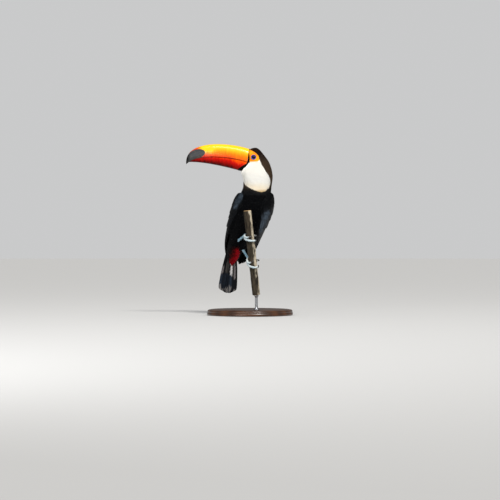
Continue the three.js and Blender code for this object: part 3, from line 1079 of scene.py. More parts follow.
black_plumes = plumage("black_plumage", 0.6, 0.0, 0.5, specular_ior_level=0.09)
crown_plumes = plumage("crown_plumage", 0.6, 0.02, 0.4, specular_ior_level=0.15)
white_plumes = plumage("white_plumage", 0.8, 0.1, 0.4, 0.97, specular_ior_level=0.2)
red_plumes = plumage("red_plumage", 0.65, 0.0, 0.5, specular_ior_level=0.1)

feathered(
    "coat_bib", bib_zone, spacing=0.66, length=9, width=1.9, lift=0.45, look=white_plumes, seed=11,
    wander=0.05, clump=0.07, root=0.4, grow=head_growth, root_shade=0.04, variety=0.04,
)
feathered(
    "coat_crown", lambda p: crown_zone(p) * above_nape(p), spacing=0.66, length=6.5, width=1.1, lift=1.4,
    look=crown_plumes, seed=21, wander=0.05, clump=0.1, grow=head_growth, root_shade=0.2,
)
feathered(
    "coat_nape", lambda p: crown_zone(p) * (1 - above_nape(p)), spacing=0.9, length=8.5, width=1.5,
    lift=1.8, look=crown_plumes, seed=25, wander=0.06, clump=0.12, grow=head_growth, root_shade=0.2,
)
feathered(
    "coat_breast", breast_zone, spacing=2.45, length=13, width=7.4, lift=2.6, look=black_plumes, seed=31,
    strands=7, grow=body_growth,
)
feathered(
    "coat_back", back_zone, spacing=2.3, length=14, width=7.8, lift=2.6, look=black_plumes, seed=41,
    strands=7, grow=body_growth,
)
feathered(
    "coat_thighs", thigh_zone, spacing=0.85, length=8, width=1.5, lift=2.2, look=black_plumes, seed=51,
)
feathered(
    "coat_undertail", red_zone, spacing=1.9, length=15, width=5.2, lift=2.6, look=red_plumes, seed=61,
    strands=5, lie=UNDERTAIL_LIE, wander=0.12, stiff=0.8, seen=0, grow=undertail_growth,
)
feathered(
    "coat_uppertail", rump_zone, spacing=2.4, length=16, width=8, lift=1.9, look=white_plumes, seed=71,
    strands=7, lie=UPPERTAIL_LIE, wander=0.05, clump=0.05, root_shade=0.1, stiff=0.5, seen=0,
)

# ---- Bill ----

BILL_HALF_WIDTH = 21.5
LOWER_SHARE = 0.93
BILL_PLUG = -0.04  # how far the bill runs on into the head, as a share of its curves
bill_width = through(
    (-1, 1), (0, 1), (0.25, 0.96), (0.5, 0.81), (0.7, 0.6), (0.85, 0.38), (0.95, 0.17), (1, 0.05),
)


def bezier(*ends):
    """A cubic curve in the bill's mid plane, from points (X, Z) counted from the eye."""
    p = np.array(ends, float) + [EYE_X, EYE_Z]

    def at(t):
        weights = np.stack([(1 - t) ** 3, 3 * t * (1 - t) ** 2, 3 * t * t * (1 - t), t**3], -1)
        return weights @ p

    return at


def height_of(curve):
    """A function giving a curve's Z at each X."""
    x, z = curve(np.linspace(0, 1, 400))[::-1].T
    return lambda place: np.interp(place, x, z)


CULMEN = bezier((-9, 23.5), (-65, 43.5), (-195, 53), (-188.5, -18))
UPPER_EDGE = bezier((-9, -16), (-52, 1), (-160, 13), (-188.3, -18.2))
LOWER_EDGE = bezier((-9, -16.7), (-52, 0.4), (-153, 12), (-181.5, -11.4))
KEEL = bezier((-32, -38), (-82, -24.5), (-140, -11), (-181, -12))

bill_top, bill_bottom = height_of(CULMEN), height_of(KEEL)
# Where the black band at the base ends, as an X from the eye, by the height above the eye.
band_front = through((24, -12), (0, -16), (-15, -18.5), (-24, -32), (-32, -44))
# The black oval's edges as shares of the upper half's height, by the X from the eye.
OVAL_BACK = -134.8
oval_top = through(
    (-190, 0.98), (-181, 0.97), (-171, 0.93), (-161, 0.88), (-150.5, 0.79), (-141, 0.66),
    (-136.5, 0.52), (OVAL_BACK, 0.37),
)
oval_bottom = through(
    (-190, -0.2), (-154, -0.1), (-146, 0.04), (-140, 0.15), (-136.5, 0.26), (OVAL_BACK, 0.37),
)


def bill_ground(points, share):
    """Yellow along the culmen, orange and red below it, by the share of the bill's height, and at the keel
    a deeper red, darkened further as painted shade.
    """
    x, z = points[:, 0], points[:, 2]
    along = x - EYE_X
    streaks = 0.028 * ripple(np.stack([x, z * 0.25], 1), 1.9, 91)
    streaks = streaks + 0.022 * ripple(np.stack([x, z * 0.2], 1), 5, 92)
    level = share + streaks * step(0.95, 0.6, share)
    # Towards the head the red is lighter, and towards the tip the yellow reaches further down.
    level = level + 0.09 * step(0.62, 0.3, level) * step(-70, -38, along)
    level = level + 0.15 * step(0.42, 0.62, level) * step(-98, -122, along)
    # bill_shadow, at the keel, is the bill's deeper red there, darkened further as painted shade.
    colour = ramp(
        level, (0.03, "bill_shadow"), (0.3, "bill_red"), (0.42, "bill_vermilion"), (0.6, "bill_orange"),
        (0.84, "bill_yellow"),
    )
    strip = ramp(along, (-184, "bill_shadow"), (-158, "bill_vermilion"), (-142, "bill_yellow"))
    return mix(colour, strip, step(-140, -150, along) * step(0.4, 0.7, share))


def tomium_stain(x, up, upper):
    """How dark the bill is stained where its two halves close."""
    uneven = ripple(x[:, None], 2.4, 93) * 0.5 + 0.5
    if upper:
        stain = step(0.075, 0.01, up) * (0.35 + 0.5 * uneven)
    else:
        stain = step(0.93, 1.0, 1 - up) * 0.5
    return np.clip(stain * step(-20, -60, x - EYE_X), 0, 1)


def oval_greys(points, up):
    """The oval's mottled greys, black at the bill's tip."""
    grey = mix(paint("oval"), paint("oval_low"), step(0.5, -0.2, up))
    grey = mix(grey, paint("oval_pale"), 0.4 * step(-0.1, 0.9, rough(points, 6, 95, 3)))
    return mix(grey, paint("bill_tip"), step(-176, -188, points[:, 0] - EYE_X))


def in_oval(points, up):
    """1 in the black oval at the upper half's tip, 0 outside it."""
    along = points[:, 0] - EYE_X
    inside = np.minimum(oval_top(along) - up, up - oval_bottom(along)) * 30
    inside = np.minimum(inside, OVAL_BACK - along)
    return step(-1.0, 1.2, inside + ripple(points[:, ::2], 5, 94) * 0.3)


def bill_colours(points, up, upper):
    """A half's colours, with a black tip or oval and a black band at its base."""
    x, z = points[:, 0], points[:, 2]
    low, high = bill_bottom(x), bill_top(x)
    colour = bill_ground(points, np.clip((z - low) / (high - low), 0, 1))
    colour = mix(colour, paint("bill_stain"), tomium_stain(x, up, upper))
    if upper:
        colour = mix(colour, oval_greys(points, up), in_oval(points, up))
    else:
        colour = mix(colour, paint("bill_tip"), step(-176, -179, x - EYE_X))
    behind = x - EYE_X - band_front(z - EYE_Z)
    return mix(colour, paint("band"), step(-0.5, 0.3, behind))


BILL_ROWS, PLUG_ROWS, ARCH_COLUMNS, FLOOR_COLUMNS = 300, 10, 88, 12
NOTCH_PITCH = 5.2
BILL_LENGTH, BILL_HEIGHT = 190, 45  # the size of its pattern's frame


def bill_section():
    """How far across and how far up a half's columns are: first its arch, then its flat inside."""
    angle = np.linspace(0, math.pi, ARCH_COLUMNS)
    floor = np.linspace(-1, 1, FLOOR_COLUMNS + 2)[1:-1]
    across = np.concatenate([signed_power(np.cos(angle), 0.78), floor])
    return across, np.concatenate([np.sin(angle) ** 0.86, np.zeros(FLOOR_COLUMNS)])


def notches(low, t, across, up):
    """Small forward notches along the cutting edge, as a rise of the columns there."""
    reach = np.abs(np.gradient(low[:, 0]).cumsum())
    teeth = np.clip((reach / NOTCH_PITCH) % 1 * 1.6 - 0.6, 0, 1)
    teeth = teeth * step(0.1, 0.2, t) * step(0.93, 0.8, t)
    lip = np.exp(-((up / 0.03) ** 2)) * (np.abs(across) > 0.9)
    return 0.02 * teeth[:, None] * lip[None]


def with_rim(rings, low, high):
    """The rings with the rim at the bill's base standing a little proud."""
    flat = rings.reshape(-1, 3)
    behind = flat[:, 0] - EYE_X - band_front(flat[:, 2] - EYE_Z)
    rim = 0.45 * step(-0.4, 0.6, behind) * step(9, 5, behind)
    middle_z = np.repeat(mix(low[:, 1], high[:, 1], 0.4), rings.shape[1])
    middle = np.stack([flat[:, 0], np.full(len(flat), MID_Y), middle_z], 1)
    return (flat + unit(flat - middle) * rim[:, None]).reshape(rings.shape)


def bill_half(name, edge, ridge, share, upper):
    """One half of the bill: an arch over its closing edge, with a flat, slightly hollow inside."""
    plug = np.linspace(BILL_PLUG, 0, PLUG_ROWS, endpoint=False)
    t = np.concatenate([plug, np.linspace(0, 1, BILL_ROWS)])
    low, high = edge(t), ridge(t)
    across, up = bill_section()
    rise = up[None] + (notches(low, t, across, up) if upper else 0)
    rise = np.clip(rise, 0, 1)
    half = BILL_HALF_WIDTH * share * bill_width(t)
    rings = np.empty((len(t), len(across), 3))
    rings[..., 0] = mix(low[:, None, 0], high[:, None, 0], rise)
    rings[..., 2] = mix(low[:, None, 1], high[:, None, 1], rise)
    rings[..., 1] = MID_Y + half[:, None] * across[None]
    hollow = (1.9 if upper else 1.6) * (1 - across[ARCH_COLUMNS:] ** 6)
    rings[:, ARCH_COLUMNS:, 2] += hollow[None] * step(1.0, 0.93, t)[:, None]
    piece = lathe_like(name, with_rim(rings, low, high))
    ups = np.concatenate([np.tile(up, len(t)), [0, 0]])
    every = points_of(piece.data)
    set_colours(piece, "tint", bill_colours(every, ups, upper))
    along = np.concatenate([np.repeat(t, len(across)), [0, 1]]) * BILL_LENGTH
    set_vectors(piece, "vane", np.stack([along, ups * BILL_HEIGHT, every[:, 1]], 1))
    return piece


def horn_look(name, gloss):
    """Polished horn, duller where it is dark: growth lines across the bill, fine scratches along it."""
    look = Look(name)
    place = look.vane()
    lines = look.noise(1.0, look.stretched(place, 1.1, 0.05, 0.05), 4.0, 0.6)
    blotch = look.noise(0.09, place, 3.0)
    scratches = look.noise(1.0, look.stretched(place, 0.08, 2.2, 2.2), 3.0)
    red = look.node("SeparateColor", _0=look.tint()).outputs["Red"]
    growth = look.band(lines, 0.3, 0.7, 0.86, 1.04)
    look.shade_tint(look.times(growth, look.band(blotch, 0.3, 0.7, 0.93, 1.03)))
    look.set("Specular IOR Level", look.band(red, 0.06, 0.5, 0.06, gloss))
    look.set("Roughness", look.band(scratches, 0.3, 0.75, 0.15, 0.27))
    look.bump(look.plus(lines, look.times(scratches, 0.4)), 0.25, 0.2)
    return look


BILL_HALVES = (
    ("bill_upper", UPPER_EDGE, CULMEN, 1.0, 0.34),
    ("bill_lower", LOWER_EDGE, KEEL, LOWER_SHARE, 0.08),
)
for node, edge, ridge, share, gloss in BILL_HALVES:
    half_bill = bill_half(f"{node}_horn", edge, ridge, share, node == "bill_upper")
    horn_look(f"{node}_look", gloss).on(half_bill)
    keep(half_bill, "bill", node)

# ---- Eyes and lids ----

RING_OUTER = 7.8
# The lids' section, from under the ring's outer edge over it to under the eye's opening: the radius
# and the distance out from the eye's centre.
LID_PROFILE = (
    (RING_OUTER - 0.6, 3.0), (RING_OUTER, 4.2), (7.1, 4.95), (6.5, 5.4), (6.0, 5.65), (5.6, 5.85),
    (5.25, 6.05), (4.95, 6.12), (4.72, 6.02), (4.6, 5.8), (4.65, 5.35), (4.85, 4.9), (5.8, 3.8),
)
LID_ROWS, LID_COLUMNS = 49, 160


def dome(side, profile, columns):
    """Rings about an eye's axis, from a profile of (radius, distance out)."""
    return EYES[side] + spun(profile, columns)[..., [0, 2, 1]] * [1, -SIGN[side], 1]


def off_axis(points, side):
    """How far points are from an eye's axis."""
    return np.hypot(points[..., 0] - EYES[side][0], points[..., 2] - EYES[side][2])


def make_eye(side):
    """A ball that bulges a little at the pupil."""
    angle = np.linspace(0.02, math.pi - 0.02, 40)
    bulge = 0.45 * np.exp(-((angle / 0.42) ** 2))
    profile = np.stack([EYE_RADIUS * np.sin(angle), EYE_RADIUS * np.cos(angle) + bulge], 1)
    piece = lathe_like(f"eyeball_{side}", dome(side, profile, 72))
    off = off_axis(points_of(piece.data), side)
    iris = mix(paint("iris"), paint("iris_rim"), step(3.2, 4.5, off))
    set_colours(piece, "tint", mix(paint("pupil"), iris, step(2.7, 2.95, off)))
    return piece


def lid_profile():
    """The lids' section with more rows, and its corners rounded."""
    fine, knots = np.linspace(0, len(LID_PROFILE) - 1, LID_ROWS), np.arange(len(LID_PROFILE))
    smooth = np.stack([np.interp(fine, knots, column) for column in np.array(LID_PROFILE).T], 1)
    for _ in range(4):
        soften(smooth)
    return smooth


def lid_colours(points, side):
    """Blue, lighter below as a painted highlight and deeper above, dark at the eye's opening, and yellow
    where the bare face begins.
    """
    above = points[:, 2] - EYES[side][2] + 2 * ripple(points, 3, 33)
    off = off_axis(points, side)
    # The lighter blue below is a painted highlight.
    tone = mix(paint("ring"), paint("ring_deep"), step(-4, 4, above))
    tone = mix(tone, paint("ring_deep") * 0.4, step(5.2, 4.7, off))
    return mix(tone, paint("face_deep"), step(7.0, 7.6, off))


def make_lids(side):
    """The blue ring of bare skin round the eye: a soft rim with fine pleats."""
    rings = dome(side, lid_profile(), LID_COLUMNS)
    # The opening is a little longer than it is high.
    radius = off_axis(rings, side)
    squeeze = 1 - 0.06 * step(6.0, 4.6, radius)
    rings[..., 2] = EYES[side][2] + (rings[..., 2] - EYES[side][2]) * squeeze
    turn = full_turn(LID_COLUMNS)
    pleats = np.cos(turn * 34 + 2.2 * np.sin(radius * 2.1)) * 0.07 + np.cos(radius * 9) * 0.05
    rings[..., 1] += -SIGN[side] * pleats * step(7.7, 6.7, radius) * step(4.7, 5.2, radius)
    faces = np.concatenate([grid_faces(LID_ROWS, LID_COLUMNS, True), closing(LID_ROWS, LID_COLUMNS)])
    piece = make_piece(f"eye_ring_{side}", rings.reshape(-1, 3), faces)
    set_colours(piece, "tint", lid_colours(points_of(piece.data), side))
    return piece


eye_gloss = Look("eyeball", roughness=0.04, specular_ior_level=0.22)
eye_gloss.set("Base Color", eye_gloss.tint())
lid_skin = Look("lid_skin", roughness=0.35, specular_ior_level=0.25)
lid_skin.set("Base Color", lid_skin.tint())
lid_skin.bump(lid_skin.noise(1100.0, lid_skin.place(), 2.0), 0.4, 0.12)
for side in SIDES:
    keep(eye_gloss.on(make_eye(side)), "eye", f"eye_{side}")
    keep(lid_skin.on(make_lids(side)), "face_skin")

# ---- Wings ----

SHEET_ROWS, SHEET_COLUMNS = 61, 25


def wing_sheet(side):
    """The wing's outer surface as a grid of points: rows from its top to its tip, columns from the
    breast's edge to the back's."""
    node = f"wing_{side}"
    tree = tree_of(node)
    low, high = box_of(node)
    heights = np.linspace(high[2] - 2.5, low[2] + 2.5, SHEET_ROWS)
    middle = -10 if side == "left" else 170
    span = np.arange(middle - 130, middle + 131, 1.0)
    sheet = np.zeros((SHEET_ROWS, SHEET_COLUMNS, 3))

    def hit(z, degrees):
        x, y, _, _ = section(max(z, TRUNK_END_Z + 3))
        way = Vector((math.cos(math.radians(degrees)), math.sin(math.radians(degrees)), 0))
        start = Vector((float(x), float(y), float(z))) + way * 200
        return tree.ray_cast(start, -way, 200)[0]

    edges = []
    for z in heights:
        found = [d for d in span if hit(z, d)]
        edges.append((found[0], found[-1]) if found else edges[-1])
    edges = np.array(edges, float)
    for _ in range(3):
        soften(edges)
    for row, z in enumerate(heights):
        first, last = edges[row]
        if side == "right":
            first, last = last, first
        for column, share in enumerate(np.linspace(0.02, 0.98, SHEET_COLUMNS)):
            spot = hit(z, first + (last - first) * share)
            if spot is None:
                guess = hit(z, (first + last) / 2) or Vector((0, 0, z))
                spot = tree.find_nearest(guess)[0]
            sheet[row, column] = spot
    for _ in range(6):
        soften(sheet)
        soften(sheet.swapaxes(0, 1))
    return skirted(sheet)


SKIRT = 5  # rows and columns added round the sheet, from the wing's rim down to the skin


def skirted(sheet):
    """The sheet with strips that slope from its top and sides to the skin beside it."""
    for edge, inner, axis in ((0, 1, 1), (-1, -2, 1), (0, 1, 0)):
        rim = sheet[:, edge] if axis else sheet[edge]
        away = unit(rim - (sheet[:, inner] if axis else sheet[inner]))
        strips = []
        for k in range(1, SKIRT + 1):
            reach = rim + away * 2.0 * k
            skin_spots = np.array([SKIN_TREE.find_nearest(spot)[0] for spot in reach])
            strips.append(mix(reach, skin_spots, (k / SKIRT) ** 0.8))
        block = np.stack(strips, axis)
        parts = [np.flip(block, axis), sheet] if edge == 0 else [sheet, block]
        sheet = np.concatenate(parts, axis)
    return sheet


class Sheet:
    """A grid of points read anywhere: u from the breast's edge to the back's, v from top to tip.
    Both run from 0 to 1 on the wing, and past that on its skirts."""

    def __init__(self, grid, outward):
        self.grid = grid
        across, down = np.gradient(grid, axis=1), np.gradient(grid, axis=0)
        normals = unit(np.cross(across, down))
        if dot(normals.mean((0, 1)), outward) < 0:
            normals = -normals
        self.normals = normals

    def read(self, table, u, v):
        rows, columns, _ = table.shape
        r = np.clip(v * (SHEET_ROWS - 1) + SKIRT, 0, rows - 1)
        c = np.clip(u * (SHEET_COLUMNS - 1) + SKIRT, 0, columns - 1)
        r0, c0 = np.minimum(r.astype(int), rows - 2), np.minimum(c.astype(int), columns - 2)
        fr, fc = (r - r0)[..., None], (c - c0)[..., None]
        top = table[r0, c0] * (1 - fc) + table[r0, c0 + 1] * fc
        bottom = table[r0 + 1, c0] * (1 - fc) + table[r0 + 1, c0 + 1] * fc
        return top * (1 - fr) + bottom * fr

    def at(self, u, v):
        return self.read(self.grid, u, v)

    def up(self, u, v):
        return unit(self.read(self.normals, u, v))


def outline_at(stations, *knots):
    """A vane's half width at its stations, as shares of the full one, through knots (place, share)."""
    shape = through(*knots)(stations)
    shape[0] = shape[-1] = 0
    return shape


# Long feathers have more stations, and a blunt tip.
BLADE_STATIONS = np.concatenate([np.linspace(0, 0.9, 13), [0.95, 0.985, 1.0]])
BLADE = outline_at(
    BLADE_STATIONS, (0, 0.3), (0.08, 0.5), (0.3, 0.86), (0.6, 1.0), (0.82, 0.97), (0.92, 0.78),
    (0.97, 0.5), (1, 0.12),
)
COVERT_STATIONS = np.array([0, 0.1, 0.3, 0.5, 0.7, 0.84, 0.94, 1.0])
COVERT = outline_at(
    COVERT_STATIONS, (0, 0.45), (0.3, 0.9), (0.6, 1.0), (0.8, 0.93), (0.93, 0.62), (1, 0.1),
)


def on_sheet(name, sheet, feathers, stations, outline, columns, quill, thick, strands):
    """A piece of feathers laid on a sheet. Each feather is (u, v) at its root, (u, v) at its tip, its
    bow, its width, how high its root and tip stand, and its tilt. Strands, where more than one, fray it."""
    count = len(feathers)
    table = np.array(feathers, float)
    root, tip = table[:, 0:2], table[:, 2:4]
    bow, width, low, high, tilt = table[:, 4:].T
    rng = np.random.default_rng(count)
    s = stations[None]
    u = root[:, :1] + (tip - root)[:, :1] * s + bow[:, None] * np.sin(math.pi * s)
    v = root[:, 1:] + (tip - root)[:, 1:] * s
    spots, normals = sheet.at(u, v), sheet.up(u, v)
    places = np.clip(np.stack([u[:, 0], v[:, 0]], 1), 0.01, 0.99)
    chance, sink = rng.uniform(0, 1, count), 0
    if strands > 1:
        spots, normals, s, sink = fray(spots, normals, width, stations, strands, rng)
        width = width / strands * STRAND_OVERLAP
        width, low, high, tilt, places, chance = (
            np.repeat(a, strands, 0) for a in (width, low, high, tilt, places, chance)
        )
    heights = low[:, None] + (high - low)[:, None] * s**0.8 - sink
    tints = np.tile(paint("black_gloss"), (len(width), 1))
    return lay(name, spots, normals, width, heights, outline, tints, places, chance, thick=thick,
               camber=0.1, columns=columns, tilt=tilt, quill=quill, fringe=0.9 if strands == 1 else 0)


flight_tip_v = through((0, 0.70), (0.3, 0.83), (0.55, 0.93), (0.8, 0.995), (1, 0.94))

# The tertials' roots and tips across the wing, first and last. The left wing's close the gap beside the
# rump, while the right wing's stay off the rump's white.
TERTIALS = {
    "left": ((0.96, 1.1), (0.98, 1.16)),
    "right": ((0.82, 0.9), (0.74, 0.84)),
}


def flight_row(turn):
    """The flight feathers, from the outermost primary to the innermost secondary."""
    count = 13
    made = []
    for i in range(count):
        k = i / (count - 1)  # 0 at the innermost, 1 at the outermost
        made.append((
            mix(0.9, 0.06, k), mix(0.28, 0.46, k), mix(0.72, 0.36, k), float(flight_tip_v(k)),
            0.03, mix(25, 15, k), mix(1.0, 0.2, k), mix(4.6, 0.9, k), turn,
        ))
    return made[::-1]


def tertial_row(side):
    """The tertials, from the one furthest out on the wing to the one nearest the rump."""
    root_u, tip_u = TERTIALS[side]
    return [
        (mix(*root_u, k), mix(0.5, 0.44, k), mix(*tip_u, k), mix(0.99, 0.86, k), 0.02, 15, 0.4,
         mix(1.0, 0.6, k), 0.0)
        for k in (i / 5 for i in range(6))
    ]


def greater_row(rng, turn):
    """The greater coverts, over the flight feathers' roots."""
    return [
        (mix(0.0, 0.93, k), 0.25 + 0.04 * math.sin(math.pi * k), mix(0.08, 0.89, k),
         mix(0.51, 0.44, k) + rng.uniform(-0.008, 0.008), 0.0, 15, 0.8, mix(2.8, 4.6, k), turn * 1.5)
        for k in ((i + 0.5) / 12 for i in range(12))
    ]


def median_rows(rng, turn):
    """The median coverts, in two rows."""
    return [
        (mix(0.0, 0.96, k), top + rng.uniform(-0.01, 0.01), mix(0.04, 0.94, k),
         end + rng.uniform(-0.012, 0.012), 0.0, 11, 0.6, mix(3.4, 4.6, k), turn)
        for row, (top, end) in enumerate(((0.2, 0.365), (0.13, 0.29)))
        for k in ((i + 0.5 * row) / 15.5 for i in range(16))
    ]


def lesser_rows(rng):
    """The small coverts of the shoulder."""
    rows, columns = 18, 26
    made = []
    for row in range(rows):
        v = -0.07 + row * 0.0155
        for i in range(columns):
            k = (i + 0.5 * (row % 2) + rng.uniform(-0.25, 0.25)) / columns
            made.append((
                mix(-0.14, 1.06, k), v + rng.uniform(0, 0.008), mix(-0.1, 1.03, k),
                v + 0.068 + rng.uniform(-0.012, 0.012), rng.uniform(-0.01, 0.01), 7.2, -0.9,
                2.9 + rng.uniform(-0.3, 0.3), 0.0,
            ))
    return made


LOOSE_TOP = 0.18  # how far down the wing the loose rows start


def loose_rows(rng, rows, columns, pitch, spans, length, width, lifts):
    """Rows of loose feathers that blend a wing's side into the body. spans(v) gives the roots' and the
    tips' first and last places across the wing, and lifts how high the first and last tips stand."""
    made = []
    for row in range(rows):
        v = LOOSE_TOP + row * pitch
        roots, tips = spans(v)
        for i in range(columns):
            k = (i + 0.5 * (row % 2) + rng.uniform(-0.3, 0.3)) / columns
            made.append((
                mix(*roots, k), v + rng.uniform(0, 0.01), mix(*tips, k),
                v + length + rng.uniform(-0.015, 0.015), rng.uniform(-0.01, 0.01), width, -0.8,
                mix(*lifts, k), 0.0,
            ))
    return made


def scapular_rows(rng, side):
    """Loose feathers over the wing's edge by the back, which on the right wing stay off the rump."""

    def spans(v):
        reach = 1.18 if side == "left" else mix(1.18, 1.02, step(0.34, 0.46, v))
        return (0.93, reach), (0.86, reach - 0.08)

    return loose_rows(rng, 22, 7, 0.019, spans, 0.085, 8.0, (4.4, 2.4))


def flank_rows(rng):
    """Loose feathers over the wing's edge by the breast."""
    return loose_rows(rng, 20, 4, 0.018, lambda v: ((-0.18, 0.0), (-0.14, 0.03)), 0.075, 7.5, (2.2, 2.8))


def wing_rows(side):
    """The feathers of a folded wing, by row."""
    turn = math.radians(4) * SIGN[side]
    rng = np.random.default_rng(7 if side == "left" else 8)
    return {
        "flight": flight_row(turn),
        "tertial": tertial_row(side),
        "greater": greater_row(rng, turn),
        "median": median_rows(rng, turn),
        "lesser": lesser_rows(rng),
        "scapular": scapular_rows(rng, side),
        "flank": flank_rows(rng),
    }


# Where the folded wings' front would catch the sky, a grey sheen is painted into the feathers' colour as
# a painted reflection: ends of a line in X and Z, how wide it is, and the Y by which it has faded.
WING_SHEENS = {
    "left": ((47, 282), (29, 236), 8, 12),
    "right": ((-24, 334), (-40, 304), 7, 12),
}


def with_painted_sheen(piece, side):
    """Paints a grey sheen, a painted reflection of the sky, into the feathers along a wing's front."""
    points = points_of(piece.data)
    start, end, reach, last_y = WING_SHEENS[side]
    start, end = np.array(start, float), np.array(end, float)
    flat = points[:, ::2] - start
    along = np.clip(flat @ (end - start) / dot(end - start, end - start), 0, 1)
    away = np.linalg.norm(flat - along[:, None] * (end - start), axis=1)
    share = step(1.5, 0.3, away / reach + 0.35 * ripple(points, 7, 77)) * 0.75
    share = share * step(last_y + 12, last_y - 8, points[:, 1])
    set_colours(piece, "tint", mix(colours_of(piece, "tint"), paint("wing_sheen"), share))


def wear_tips(piece, lowest):
    """Bleaches the flight feathers' ends to a pale brown."""
    points = points_of(piece.data)
    share = step(lowest + 8, lowest + 2, points[:, 2] + 3 * ripple(points, 4, 78)) * 0.7
    set_colours(piece, "tint", mix(colours_of(piece, "tint"), paint("worn"), share))


# Each row's stations, outline, columns, quill, thickness and strands.
LOOSE = (FAN_STATIONS, STRAND, 3, 0.0, 0.26, 7)
ROW_VANES = {
    "flight": (BLADE_STATIONS, BLADE, 11, 0.4, 0.6, 1),
    "tertial": (BLADE_STATIONS, BLADE, 9, 0.3, 0.6, 1),
    "greater": (COVERT_STATIONS, COVERT, 9, 0.25, 0.4, 1),
    "median": (COVERT_STATIONS, COVERT, 7, 0.12, 0.35, 1),
    "lesser": LOOSE,
    "scapular": LOOSE,
    "flank": LOOSE,
}


def make_wing_bed(side):
    """The wing's own solid, a little inside its CAD one, under the feathers."""
    node = f"wing_{side}"
    mesh = melted([node], 1.2, 6, 0.8)
    points = points_of(mesh) - normals_of(mesh) * 1.3
    bed = make_piece(f"wing_bed_{side}", points, np.array(faces_of(mesh)))
    bpy.data.meshes.remove(mesh)
    set_colours(bed, "tint", np.tile(paint("black"), (len(points), 1)))
    set_vectors(bed, "vane", points[:, ::-1])
    keep(wing_plumes.on(bed), "flight_feathers", node)


def make_wing(side):
    sheet = Sheet(wing_sheet(side), np.array([SIGN[side], 0, 0]))
    make_wing_bed(side)
    for row, feathers in wing_rows(side).items():
        piece = on_sheet(f"wing_{side}_{row}", sheet, feathers, *ROW_VANES[row])
        if row in ("scapular", "flank"):
            keep(black_plumes.on(piece), "plumage")
            continue
        with_painted_sheen(piece, side)
        if row in ("flight", "tertial"):
            wear_tips(piece, box_of(f"wing_{side}")[0][2])
        keep(wing_plumes.on(piece), "flight_feathers")


wing_plumes = plumage("wing_plumage", 0.46, 0.0, 0.7, 0.88, specular_ior_level=0.12)
for side in SIDES:
    make_wing(side)

# ---- Tail ----


# The tail's underside, by how far out a point is to the bird's left of its middle, as a share of its
# half width there: how pale the sheen painted on it is, how far down the tail it stays so, and where
# the worn tips start.
tail_sheen_streaks = through(
    (-1, 0.1), (-0.94, 0.55), (-0.8, 0.6), (-0.7, 0.04), (-0.55, 0.04), (-0.48, 0.32), (-0.2, 0.34),
    (-0.1, 0.06), (0.0, 0.05), (0.07, 0.95), (0.32, 1.0), (0.41, 0.2), (0.56, 0.16), (0.64, 0.6),
    (0.76, 0.58), (0.84, 0.02), (1, 0.02),
)
sheen_streak_ends = through((-1, 0.53), (-0.3, 0.5), (0.2, 0.55), (0.7, 0.63), (1, 0.6))
worn_from = through(
    (-1, 0.77), (-0.8, 0.8), (-0.6, 0.87), (-0.2, 0.84), (0.15, 0.8), (0.3, 0.82), (0.6, 0.89), (1, 0.91),
)
# How strongly a bluish sheen is painted on the underside below the pale part.
lower_sheen = through(
    (-1, 0.5), (-0.85, 0.75), (-0.7, 0.2), (-0.2, 0.4), (0.02, 0.3), (0.14, 1.0), (0.3, 0.9), (0.4, 0.1),
    (1, 0),
)


def out_from_middle(side, share, count=40):
    """How far out points are across the tail, from -1 at its right edge to 1 at its left one."""
    bins = np.clip((share * count).astype(int), 0, count - 1)
    low, high = (
        np.array([pick(side[bins == i], initial=0) for i in range(count)]) for pick in (np.min, np.max)
    )
    at = (np.arange(count) + 0.5) / count
    low, high = np.interp(share, at, low), np.interp(share, at, high)
    return (side - (low + high) / 2) / np.maximum((high - low) / 2, 1)


def colour_tail(piece):
    """Pale streaks of painted sheen beneath the tail's upper half, a bluish painted sheen below them, and
    worn pale tips.
    """
    middle, across, back, down, first, last = tail_frame()
    points, normals = points_of(piece.data), normals_of(piece.data)
    side = (points - middle) @ across
    share = ((points - middle) @ down - first) / (last - first)
    under = step(0.2, -0.3, normals @ back)
    grain = np.stack([side, share * 10], 1)
    out = out_from_middle(side, share) + 0.02 * ripple(grain, 9, 82)
    ragged = share + 0.008 * ripple(grain * [1, 0.4], 1.3, 81)
    # pale is how strongly the streaks of sheen are painted on the underside.
    past_pale = ragged - sheen_streak_ends(out)
    pale = tail_sheen_streaks(out) * step(0.012, -0.012, past_pale) * under
    pale = pale * np.where(out < -0.6, step(0.29, 0.36, ragged), 1)
    streaks = ramp(pale, (0, "black_gloss"), (0.34, "sheen_streak_dim"), (0.6, "streak"), (1, "sheen_streak_pale"))
    colour = mix(colours_of(piece, "tint"), streaks, step(0.02, 0.1, pale))
    # A bluish sheen painted below the pale streaks.
    sheen = lower_sheen(out) * step(0.0, 0.03, past_pale) * under
    colour = mix(colour, paint("tail_sheen"), 0.6 * sheen)
    worn = step(0.0, 0.04, ragged - worn_from(out) + 0.03 * ripple(grain * [1, 0.5], 2.4, 84))
    worn = worn * step(-0.35, 0.25, ripple(grain * [1, 0.6], 2.6, 85))
    worn = worn * (0.3 + 0.6 * under) * step(1.03, 0.95, share)
    set_colours(piece, "tint", mix(colour, mix(paint("worn"), paint("worn_pale"), under), worn))


# How far each further pair lies from the middle, in millimetres, to the bird's left (1) and right (-1).
ROOT_FAN = {1: 3.5, -1: 1.8}
TIP_FAN = {1: 3.9, -1: 3.4}
TAIL_STATIONS = np.concatenate([np.linspace(0, 0.9, 24), [0.93, 0.955, 0.975, 0.99, 1.0]])
TAIL_OUTLINE = outline_at(
    TAIL_STATIONS, (0, 0.35), (0.2, 0.62), (0.5, 0.9), (0.8, 1.0), (0.9, 0.96), (0.955, 0.8),
    (0.99, 0.42), (1, 0.1),
)


